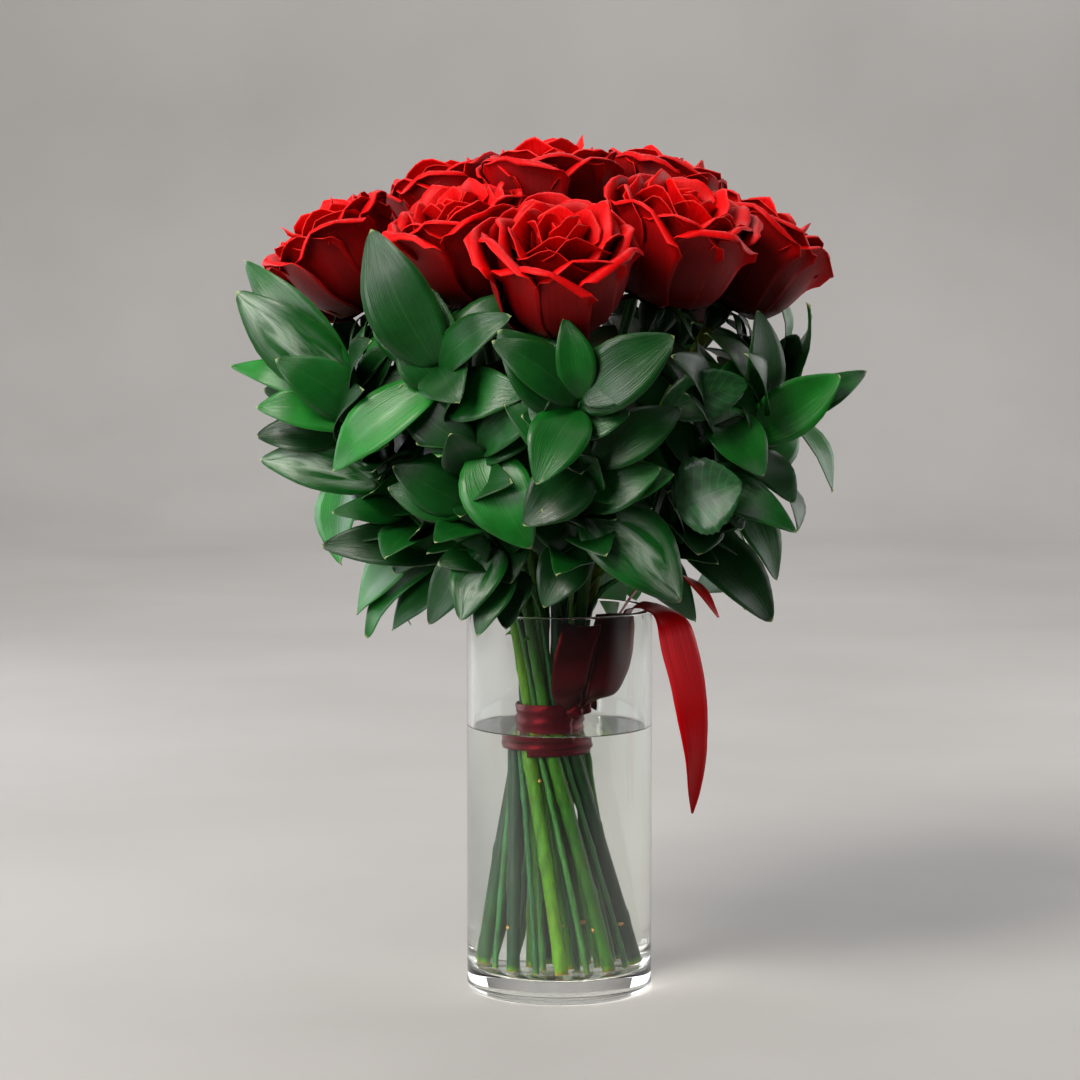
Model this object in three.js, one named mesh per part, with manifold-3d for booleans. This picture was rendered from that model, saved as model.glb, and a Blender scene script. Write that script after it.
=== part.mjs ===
// A dozen red roses and ruscus leaves, tied with a satin ribbon, in a glass cylinder vase with water.
// Millimetres, +Z up, -Y is the front. The origin is under the middle of the vase.
import * as THREE from 'three';
import { mergeVertices } from 'three/addons/utils/BufferGeometryUtils.js';
import Module from 'manifold-3d';

const wasm = await Module();
wasm.setup();

// Driving dimensions
const CLEAR = 0.3;
const VASE = { radius: 50, wall: 3.7, height: 207, floor: 12, corner: 3, sides: 36 };
const WATER = { level: 143, side: 0.4, recess: 0.7, ledge: 128.5 };
const WAIST = { z: 143, below: 129.5, above: 157, rim: 212, offsetX: -5, turn: 40 };
const SPREAD = { down: 0.0042, downTwist: 0.016, up: 0.0064, upTwist: 0.013 };
const STEM = { rose: 3, twig: 1.5, foot: 13.6, roseSides: 5, twigSides: 3 };
const SLOT = { outer: 12.4, middle: 8.8, pocket: 7.0, inner: 4.25 };
const PETAL_THICK = 0.8;
const LEAF = { thick: 0.8, arch: 0.1, cup: 0.16, fuller: 1.12 };
// Rows of a leaf, as the share of its length and of its width. A narrow leaf has fewer.
const WIDE_LEAF = 40;
const WIDE_ROWS = [[0.2, 0.74], [0.46, 1], [0.76, 0.66]];
const NARROW_ROWS = [[0.28, 0.94], [0.64, 0.86]];
const RIBBON = { width: 20, thick: 0.8, inner: 17.1, outer: 18.1, bulge: 0.2, low: 129, high: 157 };

const COLOURS = {
  glass: { color: '#e8eeea', roughness: 0.05, metalness: 0, opacity: 0.3, transparent: true },
  water: { color: '#dfe9e2', roughness: 0.05, metalness: 0, opacity: 0.4, transparent: true },
  petal: { color: '#b8060a', roughness: 0.65, metalness: 0 },
  roseStem: { color: '#3d7a2a', roughness: 0.5, metalness: 0 },
  ruscus: { color: '#1b5a24', roughness: 0.35, metalness: 0 },
  satin: { color: '#7d0710', roughness: 0.35, metalness: 0 }
};

// Roses: where the middle of each bloom is, how large it is against the first, and how it is turned
const DOME_FOCUS = new THREE.Vector3(0, 6, 220);
const HEAD_DEPTH = 38;
const ROSES = [
  { at: [-119, 2, 400], size: 0.96, spin: 20, slot: ['outer', 180] },
  { at: [-53, -41, 407], size: 0.96, spin: 75, slot: ['outer', 225] },
  { at: [-1, -86, 392], size: 1.05, spin: 130, slot: ['outer', 270] },
  { at: [61, -43, 407], size: 1.02, spin: 200, slot: ['outer', 315] },
  { at: [106, 14, 401], size: 0.96, spin: 250, slot: ['outer', 0] },
  { at: [74, 88, 398], size: 1.0, spin: 300, slot: ['outer', 45] },
  { at: [2, 120, 390], size: 0.98, spin: 10, slot: ['outer', 90] },
  { at: [-80, 93, 395], size: 1.02, spin: 60, slot: ['outer', 135] },
  { at: [-60, 34, 424], size: 0.97, spin: 110, slot: ['inner', 200] },
  { at: [-6, 0, 431], size: 1.0, spin: 160, slot: ['inner', 290] },
  { at: [54, 36, 426], size: 0.98, spin: 215, slot: ['inner', 20] },
  { at: [-4, 70, 423], size: 0.98, spin: 265, slot: ['inner', 110] }
];

// Petal rings from the middle out. The outline is a cubic curve of radius and height, half is half
// the ring share of one petal in degrees, columns are its points from side to side, and shutter lifts
// one side so that neighbours overlap.
const RINGS = [
  { count: 3, half: 74, along: 2, columns: [-1, 0.1, 1], shutter: 2, drop: 0.12, roll: 0.5,
    outline: [[5, 4], [25, 6], [13, 42], [20, 60]] },
  { count: 5, half: 50, along: 3, columns: [-1, -0.25, 0.4, 1], shutter: 2.6, drop: 0.16, roll: 2.5,
    outline: [[6, 1.5], [42, -2], [26, 62], [42, 54]] }
];
// The heart of a bloom is one petal rolled into a spiral
const HEART = { turns: 1.3, columns: 6, foot: 4, top: 61, inside: 2.2, outside: 9.5 };
// The receptacle's sides are turned so that an outer petal roots in the middle of each
const RECEPTACLE = [[0, 0], [7.8, 0], [7.8, 7], [0, 7]];
const RECEPTACLE_SIDES = 5;
const RECEPTACLE_TURN = 35;
// The calyx: a hip that runs out into pointed sepals, as points of radius and height
const CALYX = { sepals: 5, bottom: -15, notch: [6.4, -4], tip: [27, -11] };

// Leafy stems of the front half: the twig's course above the rim, then each leaf as the station on the
// twig that it grows from, its tip and its width. Copies of some, each turned about the middle and put
// in a slot of its own, fill the sides and the back. A leaf marked front is left out of them.
const TWIGS = [
  { slot: ['outer', 202.5],
    course: [[-50, -24, 231], [-72, -33, 253], [-95, -38, 277], [-114, -38, 301]],
    leaves: [[4.4, [-125, -38, 244], 23], [5.4, [-118, -52, 263], 15], [6, [-157, -38, 290], 25],
      [7, [-157, -28, 298], 19], [5, [-90, -66, 241], 26]] },
  { slot: ['outer', 247.5], copies: [[190, 67.5], [285, 157.5]],
    course: [[-20, -42, 229], [-32, -56, 245], [-48, -66, 265], [-42, -84, 297]],
    leaves: [[4.1, [-28, -70, 204], 20], [4.6, [-42, -80, 202], 19], [5, [-51, -82, 211], 25],
      [5.3, [-70, -56, 205], 22], [6, [-88, -72, 277], 21],
      [7, [-15, -102, 249], 33], [4.8, [-26, -72, 231], 26]] },
  { slot: ['outer', 292.5], copies: [[102, 22.5], [190, 112.5]],
    course: [[8, -44, 229], [9, -68, 248], [11, -86, 265], [16, -98, 291]],
    leaves: [[5, [-8, -86, 217], 24], [6, [62, -92, 221], 37], [6.4, [58, -92, 286], 20],
      [7, [-18, -110, 261], 28]] },
  { slot: ['outer', 337.5],
    course: [[40, -28, 231], [62, -38, 250], [76, -46, 281], [76, -54, 315]],
    leaves: [[5, [112, -42, 205], 31], [6, [122, -70, 255], 22], [7, [106, -66, 284], 28],
      [5.2, [72, -72, 243], 30]] },
  { slot: ['middle', 200],
    course: [[-48, -14, 243], [-78, -28, 279], [-100, -42, 311], [-106, -46, 325]],
    leaves: [[7, [-168, -44, 377], 31], [6.8, [-166, -30, 393], 24], [6.4, [-175, -22, 339], 15],
      [6.2, [-156, -34, 327], 20], [6.1, [-148, -46, 342], 25], [5.9, [-154, -30, 308], 21],
      [6.6, [-82, -64, 353], 18], [5.8, [-128, -44, 325], 26], [5.6, [-90, -64, 299], 26],
      [5.2, [-84, -60, 267], 26]] },
  { slot: ['pocket', 245], copies: [[190, 65], [285, 155]],
    course: [[-28, -36, 245], [-46, -58, 285], [-58, -74, 320], [-62, -79, 339]],
    leaves: [[7, [-96, -78, 409], 33, 'front'], [6.6, [-66, -74, 379], 22, 'front'],
      [6.5, [-118, -74, 287], 26],
      [6.9, [-51, -112, 323], 26], [6.2, [-18, -108, 328], 27], [5.6, [-62, -86, 295], 26],
      [5.2, [-10, -72, 287], 26]] },
  { slot: ['middle', 290], copies: [[102, 20], [194, 110]],
    course: [[2, -38, 245], [6, -70, 283], [9, -96, 310], [10, -104, 323]],
    leaves: [[6.6, [-30, -112, 359], 29], [7, [2, -106, 365], 18], [6.9, [34, -102, 355], 21],
      [6.7, [57, -110, 356], 30], [6.8, [-11, -128, 284], 27], [5.8, [44, -88, 303], 28],
      [5.4, [34, -74, 263], 26]] },
  { slot: ['pocket', 335],
    course: [[42, -18, 243], [74, -32, 259], [90, -34, 277], [106, -31, 315]],
    leaves: [[7, [104, -40, 367], 23], [6.8, [163, -16, 335], 17], [6.6, [147, -32, 333], 26],
      [6.4, [123, -46, 268], 22], [6, [115, -44, 227], 22], [6.2, [128, -8, 305], 26],
      [5.2, [72, -52, 305], 26], [6.8, [64, -62, 343], 24]] }
];

// Toothed rose leaves on two of the rose stems: the stem's number, the station that the stalk leaves
// from, the foot of the blade, its tip and its width
const ROSE_LEAVES = [
  { stem: 4, station: 4.6, foot: [52, -76, 317], tip: [97, -64, 331], width: 27 },
  { stem: 5, station: 4.4, foot: [60, -74, 267], tip: [93, -84, 281], width: 42 }
];

const vector = (p) => new THREE.Vector3(p[0], p[1], p[2]);
const radians = THREE.MathUtils.degToRad;
const vary = (n) => 2 * ((n * 0.618034) % 1) - 1;

function closedGeometry(points, faces) {
  const geometry = new THREE.BufferGeometry();
  geometry.setAttribute('position', new THREE.Float32BufferAttribute(points.flatMap((p) => p.toArray()), 3));
  geometry.setIndex(faces.flat());
  return geometry;
}

function solidOf(geometry) {
  const plain = geometry.clone();
  plain.deleteAttribute('normal');
  plain.deleteAttribute('uv');
  const merged = mergeVertices(plain, 1e-4);
  const mesh = new wasm.Mesh({
    numProp: 3,
    vertProperties: new Float32Array(merged.attributes.position.array),
    triVerts: new Uint32Array(merged.index.array)
  });
  return new wasm.Manifold(mesh);
}

// Joins solids into one body. Sealed hollows are filled and loose scraps dropped.
function fuse(solids) {
  const joined = solids.slice(1).reduce((sum, next) => sum.add(next), solids[0]);
  const bodies = joined.decompose();
  return bodies.reduce((best, next) => (next.volume() > best.volume() ? next : best));
}

function geometryOf(solid) {
  const mesh = solid.getMesh();
  const geometry = new THREE.BufferGeometry();
  geometry.setAttribute('position', new THREE.Float32BufferAttribute(mesh.vertProperties, 3));
  geometry.setIndex(Array.from(mesh.triVerts));
  geometry.computeVertexNormals();
  return geometry;
}

function signedVolume(points, faces) {
  const cross = new THREE.Vector3();
  return faces.reduce((sum, [a, b, c]) => sum + cross.crossVectors(points[a], points[b]).dot(points[c]), 0);
}

// A thin blade from rows of points on its middle surface. A first or last row may be one point.
function bladeGeometry(rows, thickness) {
  const pick = (i, share) => rows[i][Math.round(share * (rows[i].length - 1))];
  const normals = rows.map((row, i) => row.map((point, j) => {
    const wide = row.length > 1 ? row : rows[i === 0 ? 1 : i - 1];
    const share = row.length > 1 ? j / (row.length - 1) : 0.5;
    const column = Math.round(share * (wide.length - 1));
    const across = wide[Math.min(column + 1, wide.length - 1)].clone().sub(wide[Math.max(column - 1, 0)]);
    const along = pick(Math.min(i + 1, rows.length - 1), share).clone().sub(pick(Math.max(i - 1, 0), share));
    return across.cross(along).normalize();
  }));
  const start = [0];
  rows.forEach((row) => start.push(start[start.length - 1] + row.length));
  const total = start[rows.length];
  const flat = rows.flat();
  const flatNormals = normals.flat();
  const front = flat.map((p, k) => p.clone().addScaledVector(flatNormals[k], thickness / 2));
  const back = flat.map((p, k) => p.clone().addScaledVector(flatNormals[k], -thickness / 2));
  const faces = [];
  const addFace = (a, b, c) => faces.push([a, b, c], [c + total, b + total, a + total]);
  for (let i = 0; i + 1 < rows.length; i += 1) {
    const low = rows[i].length;
    const high = rows[i + 1].length;
    for (let j = 0; j + 1 < Math.max(low, high); j += 1) {
      const a = start[i] + Math.min(j, low - 1);
      const b = start[i] + Math.min(j + 1, low - 1);
      const c = start[i + 1] + Math.min(j + 1, high - 1);
      const d = start[i + 1] + Math.min(j, high - 1);
      if (a !== b) {
        addFace(a, b, c);
      }
      if (c !== d) {
        addFace(a, c, d);
      }
    }
  }
  const last = rows.length - 1;
  const edge = [
    ...rows[0].map((_, j) => start[0] + j),
    ...rows.slice(1, last).map((row, i) => start[i + 1] + row.length - 1),
    ...rows[last].map((row, j) => start[last] + rows[last].length - 1 - j),
    ...rows.slice(1, last).map((_, i) => start[last - 1 - i])
  ];
  edge.forEach((p, k) => {
    const q = edge[(k + 1) % edge.length];
    faces.push([p, p + total, q + total], [p, q + total, q]);
  });
  const points = [...front, ...back];
  const outward = signedVolume(points, faces) > 0 ? faces : faces.map(([a, b, c]) => [c, b, a]);
  return closedGeometry(points, outward);
}

const blade = (rows, thickness) => solidOf(bladeGeometry(rows, thickness));

// A curve whose tube has its sections exactly at the given stations
class StationCurve extends THREE.CatmullRomCurve3 {
  getUtoTmapping(u) {
    return u;
  }
}

function tube(stations, radius, sides) {
  const section = new THREE.Shape();
  for (let k = 0; k < sides; k += 1) {
    const angle = (2 * Math.PI * k) / sides;
    section[k ? 'lineTo' : 'moveTo'](radius * Math.cos(angle), radius * Math.sin(angle));
  }
  const path = new StationCurve(stations, false, 'centripetal');
  const geometry = new THREE.ExtrudeGeometry(section, { steps: stations.length - 1, extrudePath: path });
  return solidOf(geometry);
}

function lathe(profile, sides) {
  const geometry = new THREE.LatheGeometry(profile.map(([r, z]) => new THREE.Vector2(r, z)), sides);
  geometry.rotateX(Math.PI / 2);
  return geometry;
}

// The place of a stem at height z. Stems are packed at the waist, and fan out and turn about the
// bouquet's centre line above and below it, all by the same share, so that no two ever cross.
function bundle(slot, z) {
  const radius = SLOT[slot[0]];
  const azimuth = radians(slot[1] + WAIST.turn);
  const below = WAIST.z - z;
  const scale = below > 0 ? 1 + SPREAD.down * below : 1 - SPREAD.up * below;
  const twist = below > 0 ? SPREAD.downTwist * below : SPREAD.upTwist * below;
  const x = radius * (Math.cos(azimuth) * scale - Math.sin(azimuth) * twist);
  const y = radius * (Math.sin(azimuth) * scale + Math.cos(azimuth) * twist);
  const lean = below > 0 ? 1 - below / WAIST.z : 1;
  return new THREE.Vector3(x + WAIST.offsetX * lean, y, z);
}

const bundleStations = (slot) => [STEM.foot, WAIST.below, WAIST.above, WAIST.rim].map((z) => bundle(slot, z));

// The hole in the water that a stem stands in
function stemHole(stations, radius, sides) {
  const foot = stations[0].clone().lerp(stations[1], -0.006);
  return tube([foot, ...stations.slice(1)], radius + CLEAR, sides);
}

// The frame of a bloom: its base, its axis and two directions across it
function bloomFrame(rose) {
  const middle = vector(rose.at);
  const axis = middle.clone().sub(DOME_FOCUS).normalize();
  const across = new THREE.Vector3(0, 0, 1).cross(axis).normalize();
  const up = new THREE.Vector3().crossVectors(axis, across);
  const base = middle.clone().addScaledVector(axis, -HEAD_DEPTH);
  return { middle, axis, across, up, base };
}

function placeInBloom(frame, size, radius, angle, height) {
  return frame.base.clone()
    .addScaledVector(frame.across, size * radius * Math.cos(angle))
    .addScaledVector(frame.up, size * radius * Math.sin(angle))
    .addScaledVector(frame.axis, size * height);
}

function cubic(points, t, k) {
  const s = 1 - t;
  return s * s * s * points[0][k] + 3 * s * s * t * points[1][k]
    + 3 * s * t * t * points[2][k] + t * t * t * points[3][k];
}

// Where blooms touch, their petals are pressed back from the plane half way between them
const PRESS = { free: 0.8, margin: 0.75, reach: 96 };
function pressedBack(point, index) {
  const middle = vector(ROSES[index].at);
  for (let round = 0; round < 2; round += 1) {
    ROSES.forEach((other, k) => {
      const away = vector(other.at).sub(middle);
      const distance = away.length();
      if (k === index || distance > PRESS.reach) {
        return;
      }
      away.normalize();
      const limit = distance / 2 - PRESS.margin;
      const reach = point.clone().sub(middle).dot(away);
      const free = PRESS.free * limit;
      if (reach > free) {
        const soft = limit - free;
        const kept = free + soft * (1 - Math.exp(-(reach - free) / soft));
        point.addScaledVector(away, kept - reach);
      }
    });
  }
  return point;
}

// A point of one petal, u from side to side (-1 to 1), v from its root to its tip (0 to 1)
function petalPoint(frame, rose, index, ring, number, u, v) {
  const seed = 7 * index + 3 * number + ring.count;
  const tipped = 0.07 * (1 - Math.abs(u)) * v;
  const t = v * (1 - ring.drop * u * u - 0.05 * (1 + vary(seed)) * v) + tipped;
  const shift = ring.shutter * u * Math.min(1, 3 * v);
  const radius = cubic(ring.outline, t, 0) + shift + ring.roll * u * u * v * v;
  const height = cubic(ring.outline, t, 1) - 0.6 * shift + 1.5 * vary(seed + 1) * v * v;
  const spread = Math.sin(Math.PI * Math.min(0.72, 0.2 + v)) ** 0.7;
  const middleAngle = (360 / ring.count) * number + 25 * ring.count + rose.spin;
  const angle = radians(middleAngle + ring.half * spread * u);
  return pressedBack(placeInBloom(frame, rose.size, radius, angle, height), index);
}

function petal(frame, rose, index, ring, number) {
  const rows = [[petalPoint(frame, rose, index, ring, number, 0, 0)]];
  for (let i = 1; i <= ring.along; i += 1) {
    rows.push(ring.columns.map((u) => petalPoint(frame, rose, index, ring, number, u, i / ring.along)));
  }
  return blade(rows, PETAL_THICK);
}

// Puts a turned shape, made about +Z, at the base of a bloom
function seatInBloom(frame, size, geometry) {
  const basis = new THREE.Matrix4().makeBasis(frame.across, frame.up, frame.axis);
  basis.scale(new THREE.Vector3(size, size, size));
  basis.setPosition(frame.base);
  return solidOf(geometry.applyMatrix4(basis));
}

function heart(frame, rose, index) {
  const rows = [HEART.foot, HEART.top].map((height, i) => {
    const row = [];
    for (let j = 0; j <= HEART.columns; j += 1) {
      const share = j / HEART.columns;
      const angle = 2 * Math.PI * HEART.turns * share + radians(rose.spin);
      const open = HEART.inside + (HEART.outside - HEART.inside) * share;
      const radius = i ? open : 0.62 * open;
      row.push(pressedBack(placeInBloom(frame, rose.size, radius, angle, height - 3 * i * share), index));
    }
    return row;
  });
  return blade(rows, PETAL_THICK);
}

function bloom(rose, index) {
  const frame = bloomFrame(rose);
  const receptacle = lathe(RECEPTACLE, RECEPTACLE_SIDES).rotateZ(radians(rose.spin + RECEPTACLE_TURN));
  const solids = [seatInBloom(frame, rose.size, receptacle), heart(frame, rose, index)];
  RINGS.forEach((ring) => {
    for (let number = 0; number < ring.count; number += 1) {
      solids.push(petal(frame, rose, index, ring, number));
    }
  });
  return fuse(solids);
}

// A closed star: the sepals are its points, and it is thickest in the middle, where the hip is
function calyx(frame, size) {
  const rim = [];
  for (let k = 0; k < CALYX.sepals; k += 1) {
    const turn = (2 * Math.PI) / CALYX.sepals;
    rim.push(placeInBloom(frame, size, CALYX.notch[0], turn * (k - 0.5), CALYX.notch[1]));
    rim.push(placeInBloom(frame, size, CALYX.tip[0], turn * k, CALYX.tip[1]));
  }
  const top = placeInBloom(frame, size, 0, 0, -CLEAR / size);
  const bottom = placeInBloom(frame, size, 0, 0, CALYX.bottom);
  const count = rim.length;
  const faces = rim.flatMap((_, k) => [[k, (k + 1) % count, count], [(k + 1) % count, k, count + 1]]);
  return solidOf(closedGeometry([...rim, top, bottom], faces));
}

// A rose stem follows the bundle to the rim and then bends up into its calyx
const BEND = { below: 10, stations: [0.35, 0.7] };
function roseStations(rose) {
  const frame = bloomFrame(rose);
  const lower = bundleStations(rose.slot);
  const from = lower[3];
  const to = frame.base.clone().addScaledVector(frame.axis, -BEND.below);
  const rise = from.clone().sub(lower[2]).normalize();
  const reach = from.distanceTo(to) / 3;
  const curve = new THREE.CubicBezierCurve3(from, from.clone().addScaledVector(rise, reach),
    to.clone().addScaledVector(frame.axis, -reach), to);
  return [...lower, ...BEND.stations.map((t) => curve.getPoint(t)), to];
}

// A point on a tube's middle line, which is straight between its stations
function onStations(stations, place) {
  const low = Math.min(Math.floor(place), stations.length - 2);
  return stations[low].clone().lerp(stations[low + 1], place - low);
}

// A pointed leaf. Its rows narrow from the middle to the foot and the tip, and lift bends it clear.
function leaf(foot, tip, width, facing, lift, thickness, rootless) {
  const along = tip.clone().sub(foot);
  const length = along.length();
  along.normalize();
  const normal = facing.clone().addScaledVector(along, -facing.dot(along)).normalize();
  const side = new THREE.Vector3().crossVectors(normal, along);
  const at = (v, across) => foot.clone()
    .addScaledVector(along, v * length)
    .addScaledVector(normal, LEAF.arch * length * 4 * v * (1 - v) + lift * v + LEAF.cup * Math.abs(across))
    .addScaledVector(side, across);
  const shape = width < WIDE_LEAF ? NARROW_ROWS : WIDE_ROWS;
  const rows = shape.map(([v, share]) => [-1, 0, 1].map((k) => at(v, (k * share * width) / 2)));
  return blade([...(rootless ? [] : [[at(0, 0)]]), ...rows, [at(1, 0)]], thickness);
}

// The way a leaf of the front half faces: outwards, towards the front and a little up
function facingOf(foot, tip) {
  const middle = foot.clone().lerp(tip, 0.5);
  const outward = new THREE.Vector3(middle.x, middle.y, 0).normalize();
  return new THREE.Vector3(0.5 * outward.x, 0.5 * outward.y - 0.6, 0.38).normalize();
}

// A toothed rose leaf with its stalk
const TOOTHED = { rows: 9, cut: 0.88, arch: 0.09, stalk: 1, sunk: 1.5, bend: 4 };
function roseLeaf(stations, place, foot, tip, width) {
  const facing = facingOf(foot, tip);
  const along = tip.clone().sub(foot);
  const length = along.length();
  along.normalize();
  const normal = facing.clone().addScaledVector(along, -facing.dot(along)).normalize();
  const side = new THREE.Vector3().crossVectors(normal, along);
  const at = (v, across) => foot.clone()
    .addScaledVector(along, v * length)
    .addScaledVector(normal, TOOTHED.arch * length * 4 * v * (1 - v) + LEAF.cup * Math.abs(across))
    .addScaledVector(side, across);
  const rows = [];
  for (let i = 1; i < TOOTHED.rows; i += 1) {
    const v = i / TOOTHED.rows;
    const half = (width / 2) * Math.pow(Math.sin(Math.PI * Math.pow(v, 0.85)), 0.7);
    const toothed = i % 2 ? half : half * TOOTHED.cut;
    rows.push([-1, 0, 1].map((k) => at(v, k * toothed)));
  }
  const root = onStations(stations, place);
  const bend = root.clone().lerp(foot, 0.5).add(new THREE.Vector3(0, 0, TOOTHED.bend));
  const stalk = tube([root, bend, foot.clone().addScaledVector(along, TOOTHED.sunk)], TOOTHED.stalk, 4);
  return [stalk, blade([[at(0, 0)], ...rows, [at(1, 0)]], LEAF.thick)];
}

function roseStem(rose, number) {
  const frame = bloomFrame(rose);
  const stations = roseStations(rose);
  const solids = [tube(stations, STEM.rose, STEM.roseSides), calyx(frame, rose.size)];
  ROSE_LEAVES.filter((entry) => entry.stem === number).forEach((entry) => {
    solids.push(...roseLeaf(stations, entry.station, vector(entry.foot), vector(entry.tip), entry.width));
  });
  return fuse(solids);
}

const UP = new THREE.Vector3(0, 0, 1);
const COPY = { grow: 1.1, lower: 2, leaf: 1.3 };
function turned(direction, degrees) {
  return direction.clone().applyAxisAngle(UP, radians(degrees));
}

// A copy stands a little further out and lower, because the roses over it do
function placed(point, degrees) {
  const moved = turned(point, degrees);
  return degrees ? new THREE.Vector3(moved.x * COPY.grow, moved.y * COPY.grow, moved.z - COPY.lower) : moved;
}

function twigStations(twig) {
  return [...bundleStations(twig.slot), ...twig.course.map((p) => placed(vector(p), twig.turn))];
}

// Leaves are set one by one. Each is lifted until it is clear of all that is already there, with room
// to spare on its faces and its edges.
const LIFTS = [0, 4, -4, 8, -8, 12, -12, 16, -16, 20, -20, 25, -25, 30, -30];
const ROOM = { faces: 0.8, edges: 1, none: 1e-3 };
function overlaps(solid, others) {
  const box = solid.boundingBox();
  return others.reduce((sum, other) => {
    const near = [0, 1, 2].every((k) => other.box.min[k] < box.max[k] && box.min[k] < other.box.max[k]);
    return near ? sum + solid.intersect(other.solid).volume() : sum;
  }, 0);
}

const obstacle = (name, solid) => ({ name, solid, box: solid.boundingBox() });

function setLeaves(twigName, twig, obstacles, leavesSet) {
  const stations = twigStations(twig);
  const grown = twig.leaves.filter((entry) => !(twig.turn && entry[3] === 'front'));
  const larger = twig.turn ? COPY.leaf : 1;
  return grown.map(([place, tipAt, frontWidth]) => {
    const foot = onStations(stations, place);
    const tip = foot.clone().lerp(placed(vector(tipAt), twig.turn), larger);
    const width = Math.max(larger, LEAF.fuller) * frontWidth;
    const facing = turned(facingOf(turned(foot, -twig.turn), vector(tipAt)), twig.turn);
    const others = obstacles.filter((item) => item.name !== twigName);
    const siblings = leavesSet.filter((item) => item.name === twigName);
    const isClear = (lift) => {
      const [whole, outer] = [false, true].map((rootless) => (
        leaf(foot, tip, width + ROOM.edges, facing, lift, LEAF.thick + ROOM.faces, rootless)));
      return overlaps(whole, others) + overlaps(outer, siblings) < ROOM.none;
    };
    const lift = LIFTS.find(isClear) ?? 0;
    const solid = leaf(foot, tip, width, facing, lift, LEAF.thick, false);
    obstacles.push(obstacle(twigName, solid));
    leavesSet.push(obstacle(twigName, leaf(foot, tip, width, facing, lift, LEAF.thick, true)));
    return solid;
  });
}

// Ribbon strips: each station is a point of the middle line and the direction of the width
function strip(stations, width, thickness) {
  const rows = stations.map(([point, across, share = 1]) => {
    const half = vector(across).normalize().multiplyScalar((width * share) / 2);
    return [vector(point).sub(half), vector(point).add(half)];
  });
  return blade(rows, thickness);
}

function ribbonBinding() {
  const { inner, outer, bulge, low, high } = RIBBON;
  const third = (high - low) / 3;
  const profile = [
    [inner, low], [outer, low], [outer + bulge, low + third], [outer - bulge, low + third + 1],
    [outer, high], [inner, high], [inner, low]
  ];
  const geometry = lathe(profile, 20);
  geometry.translate(WAIST.offsetX, 0, 0);
  return solidOf(geometry);
}

// The knot is tied against the binding
const KNOT = { azimuth: -50, z: 155, size: [7, 5, 6] };
function ribbonBow() {
  const knot = new THREE.SphereGeometry(1, 6, 4);
  knot.scale(...KNOT.size);
  knot.translate(0, -(RIBBON.outer + RIBBON.bulge + CLEAR + KNOT.size[1]), KNOT.z);
  knot.rotateZ(radians(KNOT.azimuth + 90));
  knot.translate(WAIST.offsetX, 0, 0);
  const right = strip([
    [[13, -20, 156], [0, 0.9, 0.4]], [[26, -23, 167], [-0.2, 0.9, 0.3]], [[34, -19, 183], [-0.3, 0.9, 0.3]],
    [[32, -18, 199], [-0.3, 0.9, 0]], [[24, -20, 187], [-0.3, 0.9, -0.2]], [[19, -20, 170], [-0.2, 0.9, 0]],
    [[12, -19, 157], [0, 0.9, 0.3]]
  ], RIBBON.width * 0.7, RIBBON.thick);
  const front = strip([
    [[9, -21, 156], [0.7, 0.2, 0.6]], [[3, -33, 167], [0.9, 0, 0.4]], [[5, -38, 185], [0.9, 0.1, 0.2]],
    [[7, -35, 197], [0.9, 0.2, 0]], [[8, -31, 183], [0.9, 0.2, 0]], [[10, -20, 157], [0.8, 0.4, 0]]
  ], RIBBON.width * 0.6, RIBBON.thick);
  return fuse([solidOf(knot), right, front]);
}

function ribbonLongTail() {
  return strip([
    [[13.7, -3, 155], [0, 0.3, 0.95], 0.8], [[21, -2, 169], [0.3, 0.8, 0.4]], [[29, 0, 189], [0.4, 0.9, 0]],
    [[38, -4, 208.2], [0.3, 0.9, 0]],
    [[47, -12, 209.4], [0.1, 1, 0]], [[56, -19, 207], [0.5, 0.85, 0]], [[61, -23, 200], [0.85, 0.5, 0]],
    [[64, -24, 187], [0.97, 0.2, 0.1]], [[68, -24, 172], [0.95, 0.3, 0.1]], [[71, -24, 152], [0.85, 0.5, 0]],
    [[73, -24, 129], [0.75, 0.6, 0], 0.8], [[72, -24, 111], [0.75, 0.6, 0], 0.45],
    [[71, -24, 99], [0.8, 0.6, 0], 0.06]
  ], RIBBON.width, RIBBON.thick);
}

function ribbonShortTail() {
  return strip([
    [[10.3, 11, 155], [-0.5, 0.7, 0.9]], [[18, 17, 173], [-0.2, 0.9, 0.2]], [[30, 19, 197], [0.1, 0.9, 0]],
    [[40, 16, 213], [0.2, 0.9, 0]],
    [[48, 10, 223], [0.2, 0.9, 0.2]], [[62, 2, 228], [0.3, 0.8, -0.3]],
    [[76, -6, 218], [0.4, 0.8, 0.1], 0.7], [[85, -12, 203], [0.5, 0.8, 0], 0.08]
  ], RIBBON.width * 0.6, RIBBON.thick);
}

function vase() {
  const { radius, wall, height, floor, corner, sides } = VASE;
  const inner = radius - wall;
  return solidOf(lathe([[0, 0], [radius - corner, 0], [radius, corner], [radius, height], [inner, height],
    [inner, floor + 2], [inner - 2, floor], [0, floor]], sides));
}

function water(holes) {
  const inner = VASE.radius - VASE.wall - WATER.side;
  const low = VASE.floor + CLEAR;
  const body = solidOf(lathe([[0, low], [inner - 2, low], [inner, low + 2], [inner, WATER.level],
    [0, WATER.level]], VASE.sides));
  const deep = 2 * (WATER.level - WATER.ledge);
  const wide = RIBBON.outer + WATER.recess;
  const recess = new THREE.CylinderGeometry(wide, wide, deep, 24);
  recess.rotateX(Math.PI / 2);
  recess.translate(WAIST.offsetX, 0, WATER.level);
  const cut = [solidOf(recess), ...holes].reduce((rest, hole) => rest.subtract(hole), body);
  return fuse([cut]);
}

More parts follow.
